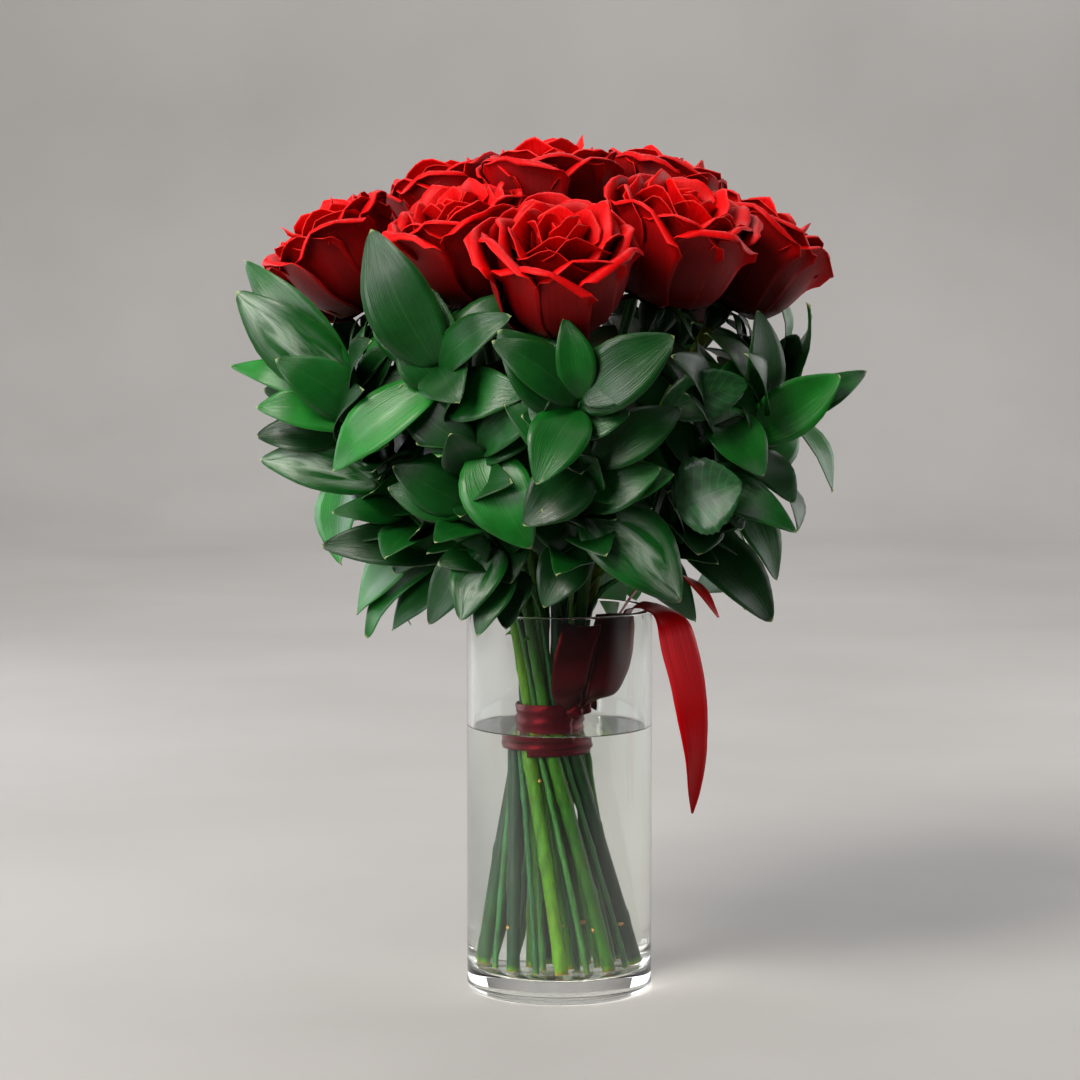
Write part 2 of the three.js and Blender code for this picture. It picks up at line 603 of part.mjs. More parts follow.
const group = new THREE.Group();
function addPart(name, solid, look) {
  const mesh = new THREE.Mesh(geometryOf(solid), new THREE.MeshStandardMaterial(COLOURS[look]));
  mesh.name = name;
  group.add(mesh);
}

const twigs = TWIGS.map((twig) => ({ ...twig, turn: 0 }));
TWIGS.forEach((twig) => (twig.copies ?? []).forEach(([turn, azimuth]) => {
  twigs.push({ ...twig, turn, slot: [twig.slot[0], azimuth] });
}));
const holes = [
  ...ROSES.map((rose) => stemHole(roseStations(rose), STEM.rose, STEM.roseSides)),
  ...twigs.map((twig) => stemHole(twigStations(twig), STEM.twig, STEM.twigSides))
];
addPart('vase', vase(), 'glass');
addPart('water', water(holes), 'water');
addPart('ribbon_binding', ribbonBinding(), 'satin');
addPart('ribbon_bow', ribbonBow(), 'satin');
addPart('ribbon_long_tail', ribbonLongTail(), 'satin');
addPart('ribbon_short_tail', ribbonShortTail(), 'satin');

const obstacles = [obstacle('vase', vase()), obstacle('ribbon', ribbonLongTail()),
  obstacle('ribbon', ribbonShortTail())];
ROSES.forEach((rose, index) => {
  const number = index + 1;
  const head = bloom(rose, index);
  const stem = roseStem(rose, number);
  obstacles.push(obstacle('bloom', head), obstacle('stem', stem));
  addPart(`rose_bloom_${number}`, head, 'petal');
  addPart(`rose_stem_${number}`, stem, 'roseStem');
});

const twigTubes = twigs.map((twig, index) => {
  const solid = tube(twigStations(twig), STEM.twig, STEM.twigSides);
  obstacles.push(obstacle(`twig_${index}`, solid));
  return solid;
});
const leavesSet = [];
twigs.forEach((twig, index) => {
  const leaves = setLeaves(`twig_${index}`, twig, obstacles, leavesSet);
  addPart(`ruscus_stem_${index + 1}`, fuse([twigTubes[index], ...leaves]), 'ruscus');
});

export default group;
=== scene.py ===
import math
from functools import partial

import bpy
import numpy as np
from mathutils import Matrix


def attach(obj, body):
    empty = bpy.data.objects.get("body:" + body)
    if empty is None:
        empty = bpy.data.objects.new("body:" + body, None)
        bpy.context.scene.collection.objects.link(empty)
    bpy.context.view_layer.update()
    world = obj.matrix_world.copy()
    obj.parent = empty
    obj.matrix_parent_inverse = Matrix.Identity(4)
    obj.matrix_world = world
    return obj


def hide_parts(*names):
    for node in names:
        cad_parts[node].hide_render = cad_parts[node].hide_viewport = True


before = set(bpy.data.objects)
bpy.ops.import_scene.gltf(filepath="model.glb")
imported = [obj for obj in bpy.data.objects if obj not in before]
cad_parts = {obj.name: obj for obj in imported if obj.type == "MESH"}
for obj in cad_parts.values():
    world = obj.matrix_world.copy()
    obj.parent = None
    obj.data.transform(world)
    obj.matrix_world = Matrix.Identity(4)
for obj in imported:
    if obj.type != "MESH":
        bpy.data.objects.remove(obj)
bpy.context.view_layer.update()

MM = 0.001

# --- Where things are, in millimetres from the middle of the vase's foot. Up is +Z, front is -Y.

VASE = dict(radius=50, wall=3.7, height=207, floor=12, corner=4, inner_corner=5, lip=1.1,
            sides=128)
# The underside is hollowed in steps inside the ring that it stands on: how far in, how far up
FOOT_RING = 4
FOOT_HOLLOW = ((2, 1.3), (8, 0.7), (14, 0.4))
# The water climbs the glass at its edge, and falls off in steps from there
WATER_LEVEL = 143
WATER_CLIMB = ((0.5, -0.6), (1.0, -0.3), (1.6, -0.1))
# All stems cross at the waist, each in its place on one of four rings. From there they fan out
# and twist, up and down.
WAIST = dict(z=143, below=129.5, above=157, rim=212, x=-5, turn=40)
SPREAD = dict(down=0.0042, down_twist=0.016, up=0.0064, up_twist=0.013)
SLOT = dict(outer=12.4, middle=8.8, pocket=7.0, inner=4.25)
STEM = dict(rose=3, twig=1.5, foot=13.6)
# How far leaf scars and thorns stand out, how wide and tall they are, and how far they hook down
SCAR, THORN = (1.1, 1.7, 1.5, 0), (4.2, 0.9, 1.6, 1.3)
# How close two points are merged, and how thick the sheets are
DOUBLES = 0.02
THICK = dict(petal=0.4, sepal=0.5, leaf=0.45, rose_leaf=0.4, satin=0.3)

# Blooms face away from the focus of their dome. Each has the place and the azimuth of its stem.
DOME_FOCUS = np.array([0, 6, 220.0])
HEAD_DEPTH = 38
ROSES = [dict(at=at, size=size, spin=spin, slot=slot) for at, size, spin, slot in (
    ((-119, 2, 400), 0.96, 20, ("outer", 180)),
    ((-53, -41, 407), 0.96, 75, ("outer", 225)),
    ((-1, -86, 392), 1.05, 130, ("outer", 270)),
    ((61, -43, 407), 1.02, 200, ("outer", 315)),
    ((106, 14, 401), 0.96, 250, ("outer", 0)),
    ((74, 88, 398), 1.0, 300, ("outer", 45)),
    ((2, 120, 390), 0.98, 10, ("outer", 90)),
    ((-80, 93, 395), 1.02, 60, ("outer", 135)),
    ((-60, 34, 424), 0.97, 110, ("inner", 200)),
    ((-6, 0, 431), 1.0, 160, ("inner", 290)),
    ((54, 36, 426), 0.98, 215, ("inner", 20)),
    ((-4, 70, 423), 0.98, 265, ("inner", 110)))]

# Petals in layers, from the outermost in. The outline is a cubic curve of radius and height from
# the root to the rim. Half is half a petal's width round the bloom in degrees, shutter lifts one
# side over its neighbour, and curl is how far the rim rolls back at its middle and at its sides.
LAYER_KEYS = ("count", "turn", "half", "shutter", "drop", "curl", "lean", "outline")
PETAL_LAYERS = [dict(zip(LAYER_KEYS, layer)) for layer in (
    (5, 125, 50, 2.6, 0.16, (18, 118), 2.5, ((6, 1.5), (42, -2), (26, 62), (42, 54))),
    (5, 161, 49, 2.2, 0.15, (16, 108), 1.5, ((6, 2.5), (39, 0), (23, 60), (36, 56))),
    (5, 130, 50, 2.0, 0.13, (14, 92), 0.8, ((5.5, 3.5), (33, 3), (18, 56), (29, 58.5))),
    (4, 75, 60, 2.0, 0.12, (12, 76), 0.5, ((5, 4), (25, 6), (13, 43), (22.5, 60))),
    (3, 140, 78, 1.9, 0.1, (8, 60), 0, ((4, 5), (19, 8), (11, 43), (16.5, 61.5))),
    (3, 195, 95, 2.0, 0.08, (5, 46), 0, ((3.5, 6), (14, 12), (9, 45), (11.4, 61.5))),
    (2, 20, 120, 1.7, 0.06, (0, 34), 0, ((2.5, 8), (9, 14), (6.5, 46), (6.8, 61))),
    (1, 80, 230, 1.4, 0.04, (0, 12), 0, ((1.5, 10), (4, 18), (3.2, 46), (2.8, 59.5))))]
# What the petals grow from, and the hip under it
RECEPTACLE = dict(heights=np.linspace(0.2, 11, 9),
                  radii=np.array([6.4, 7.4, 7.8, 7.7, 7.2, 6.4, 5.2, 3.6, 1.6]))
HIP = dict(heights=np.array([-15, -13, -10, -7, -4.5, -2.5, -1.2, -0.4]),
           radii=np.array([2.9, 3.6, 5.2, 6.4, 6.8, 6.6, 6.4, 5.8]))
SEPALS = dict(count=5, length=20, foot=5.8)
PETAL_ROWS = np.array([0, 0.17, 0.34, 0.49, 0.61, 0.71, 0.79, 0.85, 0.9, 0.94, 0.975, 1])
PETAL_COLUMNS = np.array([-1, -0.88, -0.7, -0.48, -0.24, 0, 0.24, 0.48, 0.7, 0.88, 1])
# How a petal departs from its outline, as shares of its length: how far its corners fall short of
# it, how ragged the rims are, and how far the rim runs to a point. Then how unevenly its two sides
# roll, how much of the roll is left at the corners and where up the petal it starts, and in mm how
# far petals stand in or out, and how much they wave in and out and up and down.
PETAL = dict(corners=0.12, ragged=0.05, point=0.075, uneven=0.35, corner_roll=0.25,
             rolls_from=0.78, stand=1.6, wave=1.3, wave_up=1.0)
# From how close to the middle between two blooms petals give way, and the gap they keep
PRESS = dict(free=0.8, margin=0.75, reach=96)

# Leafy stems. Copies, turned about the middle and in slots of their own, fill the sides and the
# back. The course is the part above the rim, and a leaf is the station it grows from, its tip and
# its width. A front leaf is left off the copies, and on a leaf marked for glare a grey-white
# highlight is painted.
TWIG_KEYS = ("slot", "copies", "course", "leaves")
TWIGS = [dict(zip(TWIG_KEYS, twig)) for twig in (
    (("outer", 202.5), (),
     ((-50, -24, 231), (-72, -33, 253), (-95, -38, 277), (-114, -38, 301)),
     ((4.4, (-125, -38, 244), 23), (5.4, (-118, -52, 263), 15),
      (6, (-157, -38, 290), 25, "waxy"), (7, (-157, -28, 298), 19), (5, (-90, -66, 241), 26))),
    (("outer", 247.5), ((190, 67.5), (285, 157.5)),
     ((-20, -42, 229), (-32, -56, 245), (-48, -66, 265), (-42, -84, 297)),
     ((4.1, (-28, -70, 204), 20), (4.6, (-42, -80, 202), 19), (5, (-51, -82, 211), 25, "waxy"),
      (5.3, (-70, -56, 205), 22), (6, (-88, -72, 277), 21), (7, (-15, -102, 249), 33),
      (4.8, (-26, -72, 231), 26))),
    (("outer", 292.5), ((102, 22.5), (190, 112.5)),
     ((8, -44, 229), (9, -68, 248), (11, -86, 265), (16, -98, 291)),
     ((5, (-8, -86, 217), 24), (6, (62, -92, 221), 37, "waxy"), (6.4, (58, -92, 286), 20),
      (7, (-18, -110, 261), 28))),
    (("outer", 337.5), (),
     ((40, -28, 231), (62, -38, 250), (76, -46, 281), (76, -54, 315)),
     ((5, (112, -42, 205), 31), (6, (122, -70, 255), 22), (7, (106, -66, 284), 28),
      (5.2, (72, -72, 243), 30))),
    (("middle", 200), (),
     ((-48, -14, 243), (-78, -28, 279), (-100, -42, 311), (-106, -46, 325)),
     ((7, (-168, -44, 377), 31, "waxy"), (6.8, (-166, -30, 393), 24),
      (6.4, (-175, -22, 339), 15), (6.2, (-156, -34, 327), 20), (6.1, (-148, -46, 342), 25),
      (5.9, (-154, -30, 308), 21), (6.6, (-82, -64, 353), 18), (5.8, (-128, -44, 325), 26),
      (5.6, (-90, -64, 299), 26), (5.2, (-84, -60, 267), 26))),
    (("pocket", 245), ((190, 65), (285, 155)),
     ((-28, -36, 245), (-46, -58, 285), (-58, -74, 320), (-62, -79, 339)),
     ((7, (-96, -78, 409), 33, "front"), (6.6, (-66, -74, 379), 22, "front"),
      (6.5, (-118, -74, 287), 26), (6.9, (-51, -112, 323), 26), (6.2, (-18, -108, 328), 27),
      (5.6, (-62, -86, 295), 26), (5.2, (-10, -72, 287), 26))),
    (("middle", 290), ((102, 20), (194, 110)),
     ((2, -38, 245), (6, -70, 283), (9, -96, 310), (10, -104, 323)),
     ((6.6, (-30, -112, 359), 29), (7, (2, -106, 365), 18), (6.9, (34, -102, 355), 21),
      (6.7, (57, -110, 356), 30), (6.8, (-11, -128, 284), 27), (5.8, (44, -88, 303), 28),
      (5.4, (34, -74, 263), 26))),
    (("pocket", 335), (),
     ((42, -18, 243), (74, -32, 259), (90, -34, 277), (106, -31, 315)),
     ((7, (104, -40, 367), 23), (6.8, (163, -16, 335), 17), (6.6, (147, -32, 333), 26),
      (6.4, (123, -46, 268), 22), (6, (115, -44, 227), 22), (6.2, (128, -8, 305), 26),
      (5.2, (72, -52, 305), 26), (6.8, (64, -62, 343), 24))))]
# How far a leaf arches, folds, waves, droops at its tip and bows to a side, how much fuller it is
# than the solid's, and the tone that marks a leaf with a painted grey-white glare
LEAF = dict(arch=0.1, cup=0.16, wave=0.018, droop=0.03, bow=0.04, fuller=1.12, waxy=1.4)
# How much further out and lower a copied twig stands, and how much larger its leaves are
COPY = dict(grow=1.1, lower=2, leaf=1.3)
# How far the solid's own leaves may have been bent off their course
LIFTS = (0, 4, -4, 8, -8, 12, -12, 16, -16, 20, -20, 25, -25, 30, -30)
ROSE_LEAVES = [
    dict(stem=4, station=4.6, foot=(52, -76, 317), tip=(97, -64, 331), width=27),
    dict(stem=5, station=4.4, foot=(60, -74, 267), tip=(93, -84, 281), width=42),
]
LEAF_ROWS = np.array([0, 0.06, 0.13, 0.22, 0.32, 0.43, 0.54, 0.65, 0.75, 0.84, 0.91, 0.965, 1])
LEAF_COLUMNS = np.array([-1, -0.75, -0.5, -0.24, 0, 0.24, 0.5, 0.75, 1])
# Small leaves further in, which close the collar: the height on a twig from which they grow, how
# low and high their tips may be and how far from the middle, and which steps of it have one
INNER_LEAVES = dict(low=236, least=238, high=376, every=2, length=46, width=25, spread=112)
# The few that end each twig: which way they lean in degrees from outwards, and how steeply
TOP_LEAVES = dict(turns=(85, 140, 180, 225, 275), rise=(0.6, 1.0, 0.6, 1.2, 0.7), length=54)

# The satin ribbon is 20 mm wide, and its rows are a step of 2 mm apart. Each strip is given as a
# point, the way its width runs, and the share of the width that is spread out there.
RIBBON_WIDTH = 20
STEP = 2.0
BINDING = dict(radius=17.5, low=139, high=147, turns=2.2, per_turn=0.35)
LONG_TAIL = (
    ((13.7, -3, 155), (0, 0.3, 0.95), 0.8), ((21, -2, 169), (0.3, 0.8, 0.4), 1),
    ((29, 0, 189), (0.4, 0.9, 0), 1), ((38, -4, 208.2), (0.3, 0.9, 0), 1),
    ((47, -12, 209.4), (0.1, 1, 0), 1), ((56, -19, 207), (0.5, 0.85, 0), 1),
    ((61, -23, 200), (0.85, 0.5, 0), 1), ((64, -24, 187), (0.97, 0.2, 0.1), 1),
    ((68, -24, 172), (0.95, 0.3, 0.1), 1), ((71, -24, 152), (0.85, 0.5, 0), 1),
    ((73, -24, 129), (0.75, 0.6, 0), 0.8), ((72, -24, 111), (0.75, 0.6, 0), 0.45),
    ((71, -24, 99), (0.8, 0.6, 0), 0.06))
SHORT_TAIL = (
    ((10.3, 11, 155), (-0.5, 0.7, 0.9), 0.7), ((18, 17, 173), (-0.2, 0.9, 0.2), 0.85),
    ((30, 19, 197), (0.1, 0.9, 0), 0.8), ((40, 16, 213), (0.2, 0.9, 0), 0.8),
    ((48, 10, 223), (0.2, 0.9, 0.2), 0.8), ((62, 2, 228), (0.3, 0.8, -0.3), 0.8),
    ((76, -6, 218), (0.4, 0.8, 0.1), 0.7), ((85, -12, 203), (0.5, 0.8, 0), 0.1))
RIGHT_LOOP = (
    ((13, -20, 156), (0.6, 0.6, 0.4), 0.4), ((22, -26, 164), (0.85, 0.4, 0.3), 0.9),
    ((28, -27, 182), (0.9, 0.4, 0.1), 1), ((30, -22, 200), (0.9, 0.4, 0), 1),
    ((29, -14, 207), (0.9, 0.4, 0), 1), ((26, -8, 192), (0.9, 0.3, 0), 1),
    ((20, -11, 172), (0.8, 0.3, 0.2), 0.9), ((13, -17, 158), (0.7, 0.4, 0.3), 0.4))
FRONT_LOOP = (
    ((9, -21, 156), (0.7, 0.2, 0.6), 0.4), ((4, -32, 164), (0.9, 0, 0.4), 0.9),
    ((6, -38, 180), (0.9, 0.1, 0.2), 1), ((10, -37, 196), (0.9, 0.3, 0), 1),
    ((12, -31, 203), (0.9, 0.3, 0), 1), ((11, -27, 188), (0.9, 0.2, 0), 1),
    ((10, -20, 157), (0.8, 0.4, 0), 0.4))
KNOT = dict(azimuth=-50, z=155, away=23.6, half=8, radius=5.4)


# --- Camera first: in metres and degrees, far enough off that the vase's sides stay parallel

CAMERA = dict(away=1.69, height=0.403, down=5.397, turn=0.354, lens=105.33)
camera_data = bpy.data.cameras.new("camera")
camera = bpy.data.objects.new("camera", camera_data)
bpy.context.scene.collection.objects.link(camera)
bpy.context.scene.camera = camera
camera_data.lens = CAMERA["lens"]
camera_data.sensor_width = 36
camera.location = (0, -CAMERA["away"], CAMERA["height"])
camera.rotation_euler = (math.radians(90 - CAMERA["down"]), 0, math.radians(CAMERA["turn"]))


# --- Small helpers

def unit(v):
    v = np.asarray(v, float)
    return v / np.linalg.norm(v, axis=-1, keepdims=True)


def smooth(x):
    x = np.clip(x, 0, 1)
    return x * x * (3 - 2 * x)


def vary(n):
    """A steady value from -1 to 1 for a number, which looks random from one to the next."""
    return 2 * ((n * 0.618034) % 1) - 1


def linear(code):
    """An sRGB hex colour as the linear colour that shaders take."""
    parts = [int(code[i:i + 2], 16) / 255 for i in (1, 3, 5)]
    return (*[c / 12.92 if c <= 0.04045 else ((c + 0.055) / 1.055) ** 2.4 for c in parts], 1)


def add_node(tree, kind, inputs=None, stops=(), out=0, **settings):
    """Adds a node and hands back the output that is used. Inputs are values, or outputs to link,
    stops are the places and colours of a ramp, and the settings are the node's own."""
    node = tree.nodes.new("ShaderNode" + kind)
    for key, value in settings.items():
        setattr(node, key, value)
    for key, value in (inputs or {}).items():
        if isinstance(value, bpy.types.NodeSocket):
            tree.links.new(value, node.inputs[key])
        else:
            node.inputs[key].default_value = value
    for k, (place, code) in enumerate(stops):
        elements = node.color_ramp.elements
        element = elements[k] if k < len(elements) else elements.new(place)
        element.position, element.color = place, linear(code)
    return node.outputs[out] if len(node.outputs) else node


def link(item):
    bpy.context.scene.collection.objects.link(item)


def mode(name):
    bpy.ops.object.mode_set(mode=name)


def deselect():
    if bpy.context.object and bpy.context.object.mode != "OBJECT":
        mode("OBJECT")
    bpy.ops.object.select_all(action="DESELECT")


def take(piece):
    deselect()
    piece.select_set(True)
    bpy.context.view_layer.objects.active = piece


def pick(piece, kind, test):
    """Goes into edit mode with the faces or edges selected whose middle passes the test, in mm."""
    take(piece)
    mode("EDIT")
    bpy.ops.mesh.select_mode(type=kind)
    bpy.ops.mesh.select_all(action="DESELECT")
    mode("OBJECT")
    mesh = piece.data
    for item in mesh.polygons if kind == "FACE" else mesh.edges:
        middle = np.mean([mesh.vertices[i].co for i in item.vertices], axis=0) / MM
        item.select = bool(test(middle))
    mode("EDIT")


def grid_blank(across, along):
    """A flat sheet of mesh with a UV map, to shape petals, leaves, stems and ribbons from."""
    deselect()
    bpy.ops.mesh.primitive_grid_add(x_subdivisions=across, y_subdivisions=along, size=1)
    return bpy.context.object


def shaped(blank, points, tone=0.5):
    """A copy of the blank whose rows follow the points, in mm. Tone varies the colour by row."""
    piece = bpy.data.objects.new("shaped", blank.data.copy())
    link(piece)
    points = np.asarray(points, np.float32)
    piece.data.vertices.foreach_set("co", (points * MM).ravel())
    values = np.broadcast_to(np.asarray(tone, np.float32).reshape(-1, 1), points.shape[:2])
    attribute = piece.data.attributes.new("tone", "FLOAT", "POINT")
    attribute.data.foreach_set("value", np.ascontiguousarray(values).ravel())
    return piece


def sheet_from(points, tone=0.5):
    """A sheet of its own whose rows follow the points."""
    rows, columns = np.shape(points)[:2]
    blank = grid_blank(columns - 1, rows - 1)
    piece = shaped(blank, points, tone)
    bpy.data.objects.remove(blank)
    return piece


def joined(pieces):
    take(pieces[0])
    for piece in pieces[1:]:
        piece.select_set(True)
    bpy.ops.object.join()
    return pieces[0]


def modified(piece, kind, **settings):
    take(piece)
    modifier = piece.modifiers.new("Change", kind)
    for key, value in settings.items():
        setattr(modifier, key, value)
    bpy.ops.object.modifier_apply(modifier=modifier.name)
    return piece


def thickened(piece, sheet):
    return modified(piece, "SOLIDIFY", thickness=THICK[sheet] * MM, offset=0)


def weld(piece):
    """Merges doubles and turns the faces outwards."""
    take(piece)
    mode("EDIT")
    bpy.ops.mesh.select_all(action="SELECT")
    bpy.ops.mesh.remove_doubles(threshold=DOUBLES * MM)
    bpy.ops.mesh.normals_make_consistent(inside=False)
    mode("OBJECT")


def finish_piece(name, piece, material, slot, *nodes, sharp=None):
    take(piece)
    piece.name = piece.data.name = name
    if sharp:
        bpy.ops.object.shade_smooth_by_angle(angle=math.radians(sharp))
    else:
        bpy.ops.object.shade_smooth()
    piece.data.materials.clear()
    piece.data.materials.append(material)
    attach(piece, "root")
    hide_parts(*nodes)
    return piece


def rounded(stations, share=0.4, cuts=5):
    """A path through stations whose corners are rounded off."""
    stations = [np.asarray(p, float) for p in stations]
    path = [stations[0]]
    for before, at, after in zip(stations, stations[1:], stations[2:]):
        start, end = at + (before - at) * share, at + (after - at) * share
        for t in np.linspace(0, 1, cuts):
            path.append((1 - t) ** 2 * start + 2 * t * (1 - t) * at + t * t * end)
    path.append(stations[-1])
    return np.array(path)


def spaced(path, step):
    """The same path with its points an even step apart."""
    gaps = np.linalg.norm(np.diff(path[:, :3], axis=0), axis=1)
    lengths = np.concatenate([[0], np.cumsum(gaps)])
    count = max(3, int(round(lengths[-1] / step)) + 1)
    at = np.linspace(0, lengths[-1], count)
    return np.stack([np.interp(at, lengths, column) for column in path.T], 1)


def tube(path, radii, around, tone=0.5):
    """A tube along a path, closed on a point at each end. Radii are by row, or by row and place
    round it."""
    along = unit(np.gradient(path, axis=0))
    side = unit(np.cross(along[0], (0.3, 0.5, 0.1)))
    rows = [np.repeat(path[:1], around + 1, 0)]
    angles = np.linspace(0, 2 * math.pi, around + 1)
    for point, ahead, radius in zip(path, along, radii):
        side = unit(side - ahead * np.dot(side, ahead))
        other = np.cross(ahead, side)
        ring = np.cos(angles)[:, None] * side + np.sin(angles)[:, None] * other
        rows.append(point + ring * np.reshape(radius, (-1, 1)))
    rows.append(np.repeat(path[-1:], around + 1, 0))
    piece = sheet_from(rows, tone)
    weld(piece)
    return piece


# --- Materials. On each shader a plain value is set, and an output of another node is linked.

# The two colours of a Mix node by number, since other inputs share their names, and its output
A, B = 6, 7
COLOURS = dict(out=2, data_type="RGBA")
SHADES = dict(COLOURS, blend_type="MULTIPLY")


def new_material(name):
    """A bare material, and add_node with its tree already given."""
    material = bpy.data.materials.new(name)
    material.use_nodes = True
    material.node_tree.nodes.clear()
    return material, partial(add_node, material.node_tree)


def finished(material, inputs):
    shader = add_node(material.node_tree, "BsdfPrincipled", inputs)
    add_node(material.node_tree, "OutputMaterial", {"Surface": shader})
    return material


def blade_places(add):
    """Where a point is on a leaf: on its UV map, along it, and how far off its midrib."""
    uv = add("UVMap", uv_map="UVMap")
    across = add("SeparateXYZ", {"Vector": uv}, out="X")
    along = add("SeparateXYZ", {"Vector": uv}, out="Y")
    off_middle = add("Math", {0: across, 1: 0.5}, operation="SUBTRACT")
    off_middle = add("Math", {0: off_middle}, operation="ABSOLUTE")
    return uv, along, off_middle


def rose_petal_material():
    """A fresh red rose petal, grown, not made: velvety on its face. Its colour is painted nearly
    black towards the root as painted shade, and its thin rim carries a painted highlight. Fine
    veins fan out from the root."""
    material, add = new_material("fresh_rose_petal")
    uv = add("UVMap", uv_map="UVMap")
    along = add("SeparateXYZ", {"Vector": uv}, out="Y")
    tone = add("Attribute", out="Fac", attribute_name="tone")
    # Along the petal both ramps paint light and shade: nearly black at the root as painted shade,
    # and a painted highlight on the very rim. Tone picks the brighter and the deeper red at
    # random, petal by petal.
    lit = add("ValToRGB", {"Fac": along}, [
        (0, "#3A0002"), (0.4, "#A40003"), (0.74, "#E60205"), (0.97, "#F80408"), (1, "#FA2A20")])
    deep = add("ValToRGB", {"Fac": along}, [
        (0, "#240001"), (0.4, "#700002"), (0.74, "#C00104"), (0.97, "#D80306"), (1, "#E81C16")])
    fan = add("Mapping", {"Vector": uv, "Scale": (34, 2.2, 1)})
    veins = add("TexNoise", {"Vector": fan, "Scale": 1.0, "Detail": 4.0})
    shade = add("ValToRGB", {"Fac": veins}, [(0.3, "#C0C0C0"), (0.6, "#FFFFFF")])
    colour = add("Mix", {"Factor": tone, A: deep, B: lit}, **COLOURS)
    colour = add("Mix", {"Factor": 0.5, A: colour, B: shade}, **SHADES)
    relief = add("Bump", {"Strength": 0.3, "Distance": 0.4 * MM, "Height": veins})
    return finished(material, {"Base Color": colour, "Normal": relief, "Roughness": 0.5,
                               "Specular IOR Level": 0.16})


def ruscus_leaf_material():
    """Italian ruscus, a leathery leaf with a waxed look: deep green and glossy, so that what faces
    the light goes whitish. Fine veins run side by side from foot to tip, the midrib is a groove,
    and the edge and the tip are a little paler. On marked leaves a grey-white glare is painted
    down the
    middle in streaks: a painted highlight."""
    material, add = new_material("waxy_ruscus_leaf")
    uv, along, off_middle = blade_places(add)
    tone = add("Attribute", out="Fac", attribute_name="tone")
    place = add("TexCoord", out="Object")
    patches = add("TexNoise", {"Vector": place, "Scale": 55.0, "Detail": 3.0})
    own_tone = add("Math", {0: tone}, operation="FRACT")
    green = add("ValToRGB", {"Fac": own_tone}, [
        (0, "#08300F"), (0.5, "#0C5C1A"), (1, "#1C8A26")])
    shade = add("ValToRGB", {"Fac": patches}, [(0.35, "#B0BCA8"), (0.65, "#FFFFFF")])
    colour = add("Mix", {"Factor": 0.7, A: green, B: shade}, **SHADES)
    stretched = add("Mapping", {"Vector": uv, "Scale": (46, 1.6, 1)})
    veins = add("TexNoise", {"Vector": stretched, "Scale": 1.0, "Detail": 3.0})
    # The painted glare, a grey-white highlight, lies down the middle of a marked leaf, whose tone
    # is over one, and is broken into streaks by the veins
    glare_spread = add("Mapping", {"Vector": uv, "Scale": (2.6, 1.7, 1)})
    wax = add("TexNoise", {"Vector": glare_spread, "Scale": 1.7, "Detail": 5.0, "Distortion": 0.9})
    wax = add("MapRange", {"Value": wax, "From Min": 0.38, "From Max": 0.6})
    waxy = add("MapRange", {"Value": tone, "From Min": 1.0, "From Max": 1.2, "To Max": 0.66})
    inside = add("MapRange", {"Value": off_middle, "From Min": 0.4, "From Max": 0.12})
    broken_by_veins = add("Math", {0: veins, 1: 1.2, 2: 0.2}, operation="MULTIPLY_ADD")
    for share in (waxy, inside, broken_by_veins):
        wax = add("Math", {0: wax, 1: share}, operation="MULTIPLY")
    # Marks laid over the green, each by how much it covers. The last, grey-white one is the
    # painted highlight of marked leaves.
    veined, rib, edge, tip = [add("ValToRGB", {"Fac": by}, stops) for by, stops in (
        (veins, [(0.5, "#000000"), (0.75, "#383838")]),
        (off_middle, [(0.005, "#444444"), (0.02, "#000000")]),
        (off_middle, [(0.482, "#000000"), (0.498, "#5A5A5A")]),
        (along, [(0.945, "#000000"), (0.995, "#FFFFFF")]))]
    for mark, code in ((veined, "#4E8A44"), (rib, "#6FA050"), (edge, "#6E9A4C"),
                       (tip, "#A8B878"), (wax, "#B2C4B2")):
        colour = add("Mix", {"Factor": mark, A: colour, B: linear(code)}, **COLOURS)
    rough = add("Math", {0: patches, 1: 0.26, 2: 0.22}, operation="MULTIPLY_ADD")
    height = add("Math", {0: rib, 1: -2.0, 2: veins}, operation="MULTIPLY_ADD")
    relief = add("Bump", {"Strength": 0.6, "Distance": 0.45 * MM, "Height": height})
    return finished(material, {"Base Color": colour, "Normal": relief, "Roughness": rough,
                               "Specular IOR Level": 0.42, "Coat Weight": 0.1,
                               "Coat Roughness": 0.2})


def rose_leaf_material():
    """A rose leaf: thinner and less glossy than ruscus, with veins that slant off its midrib."""
    material, add = new_material("rose_leaf_blade")
    uv, along, off_middle = blade_places(add)
    slant = add("Math", {0: off_middle, 1: -0.45, 2: along}, operation="MULTIPLY_ADD")
    slant = add("Math", {0: slant, 1: 27.0}, operation="MULTIPLY")
    lines = add("Math", {0: slant}, operation="SINE")
    lines = add("Math", {0: lines}, operation="ABSOLUTE")
    side_veins = add("Math", {0: lines, 1: 24.0}, operation="POWER")
    rib = add("ValToRGB", {"Fac": off_middle}, [(0, "#FFFFFF"), (0.025, "#000000")])
    marks = add("Math", {0: rib, 1: side_veins}, operation="MAXIMUM")
    patches = add("TexNoise", {"Vector": uv, "Scale": 6.0})
    colour = add("ValToRGB", {"Fac": patches}, [(0.3, "#123C1E"), (0.7, "#235C2C")])
    seen = add("Math", {0: marks, 1: 0.1}, operation="MULTIPLY")
    colour = add("Mix", {"Factor": seen, A: colour, B: linear("#74985C")}, **COLOURS)
    relief = add("Bump", {"Strength": 0.15, "Distance": -0.2 * MM, "Height": marks})
    return finished(material, {"Base Color": colour, "Normal": relief, "Roughness": 0.38})


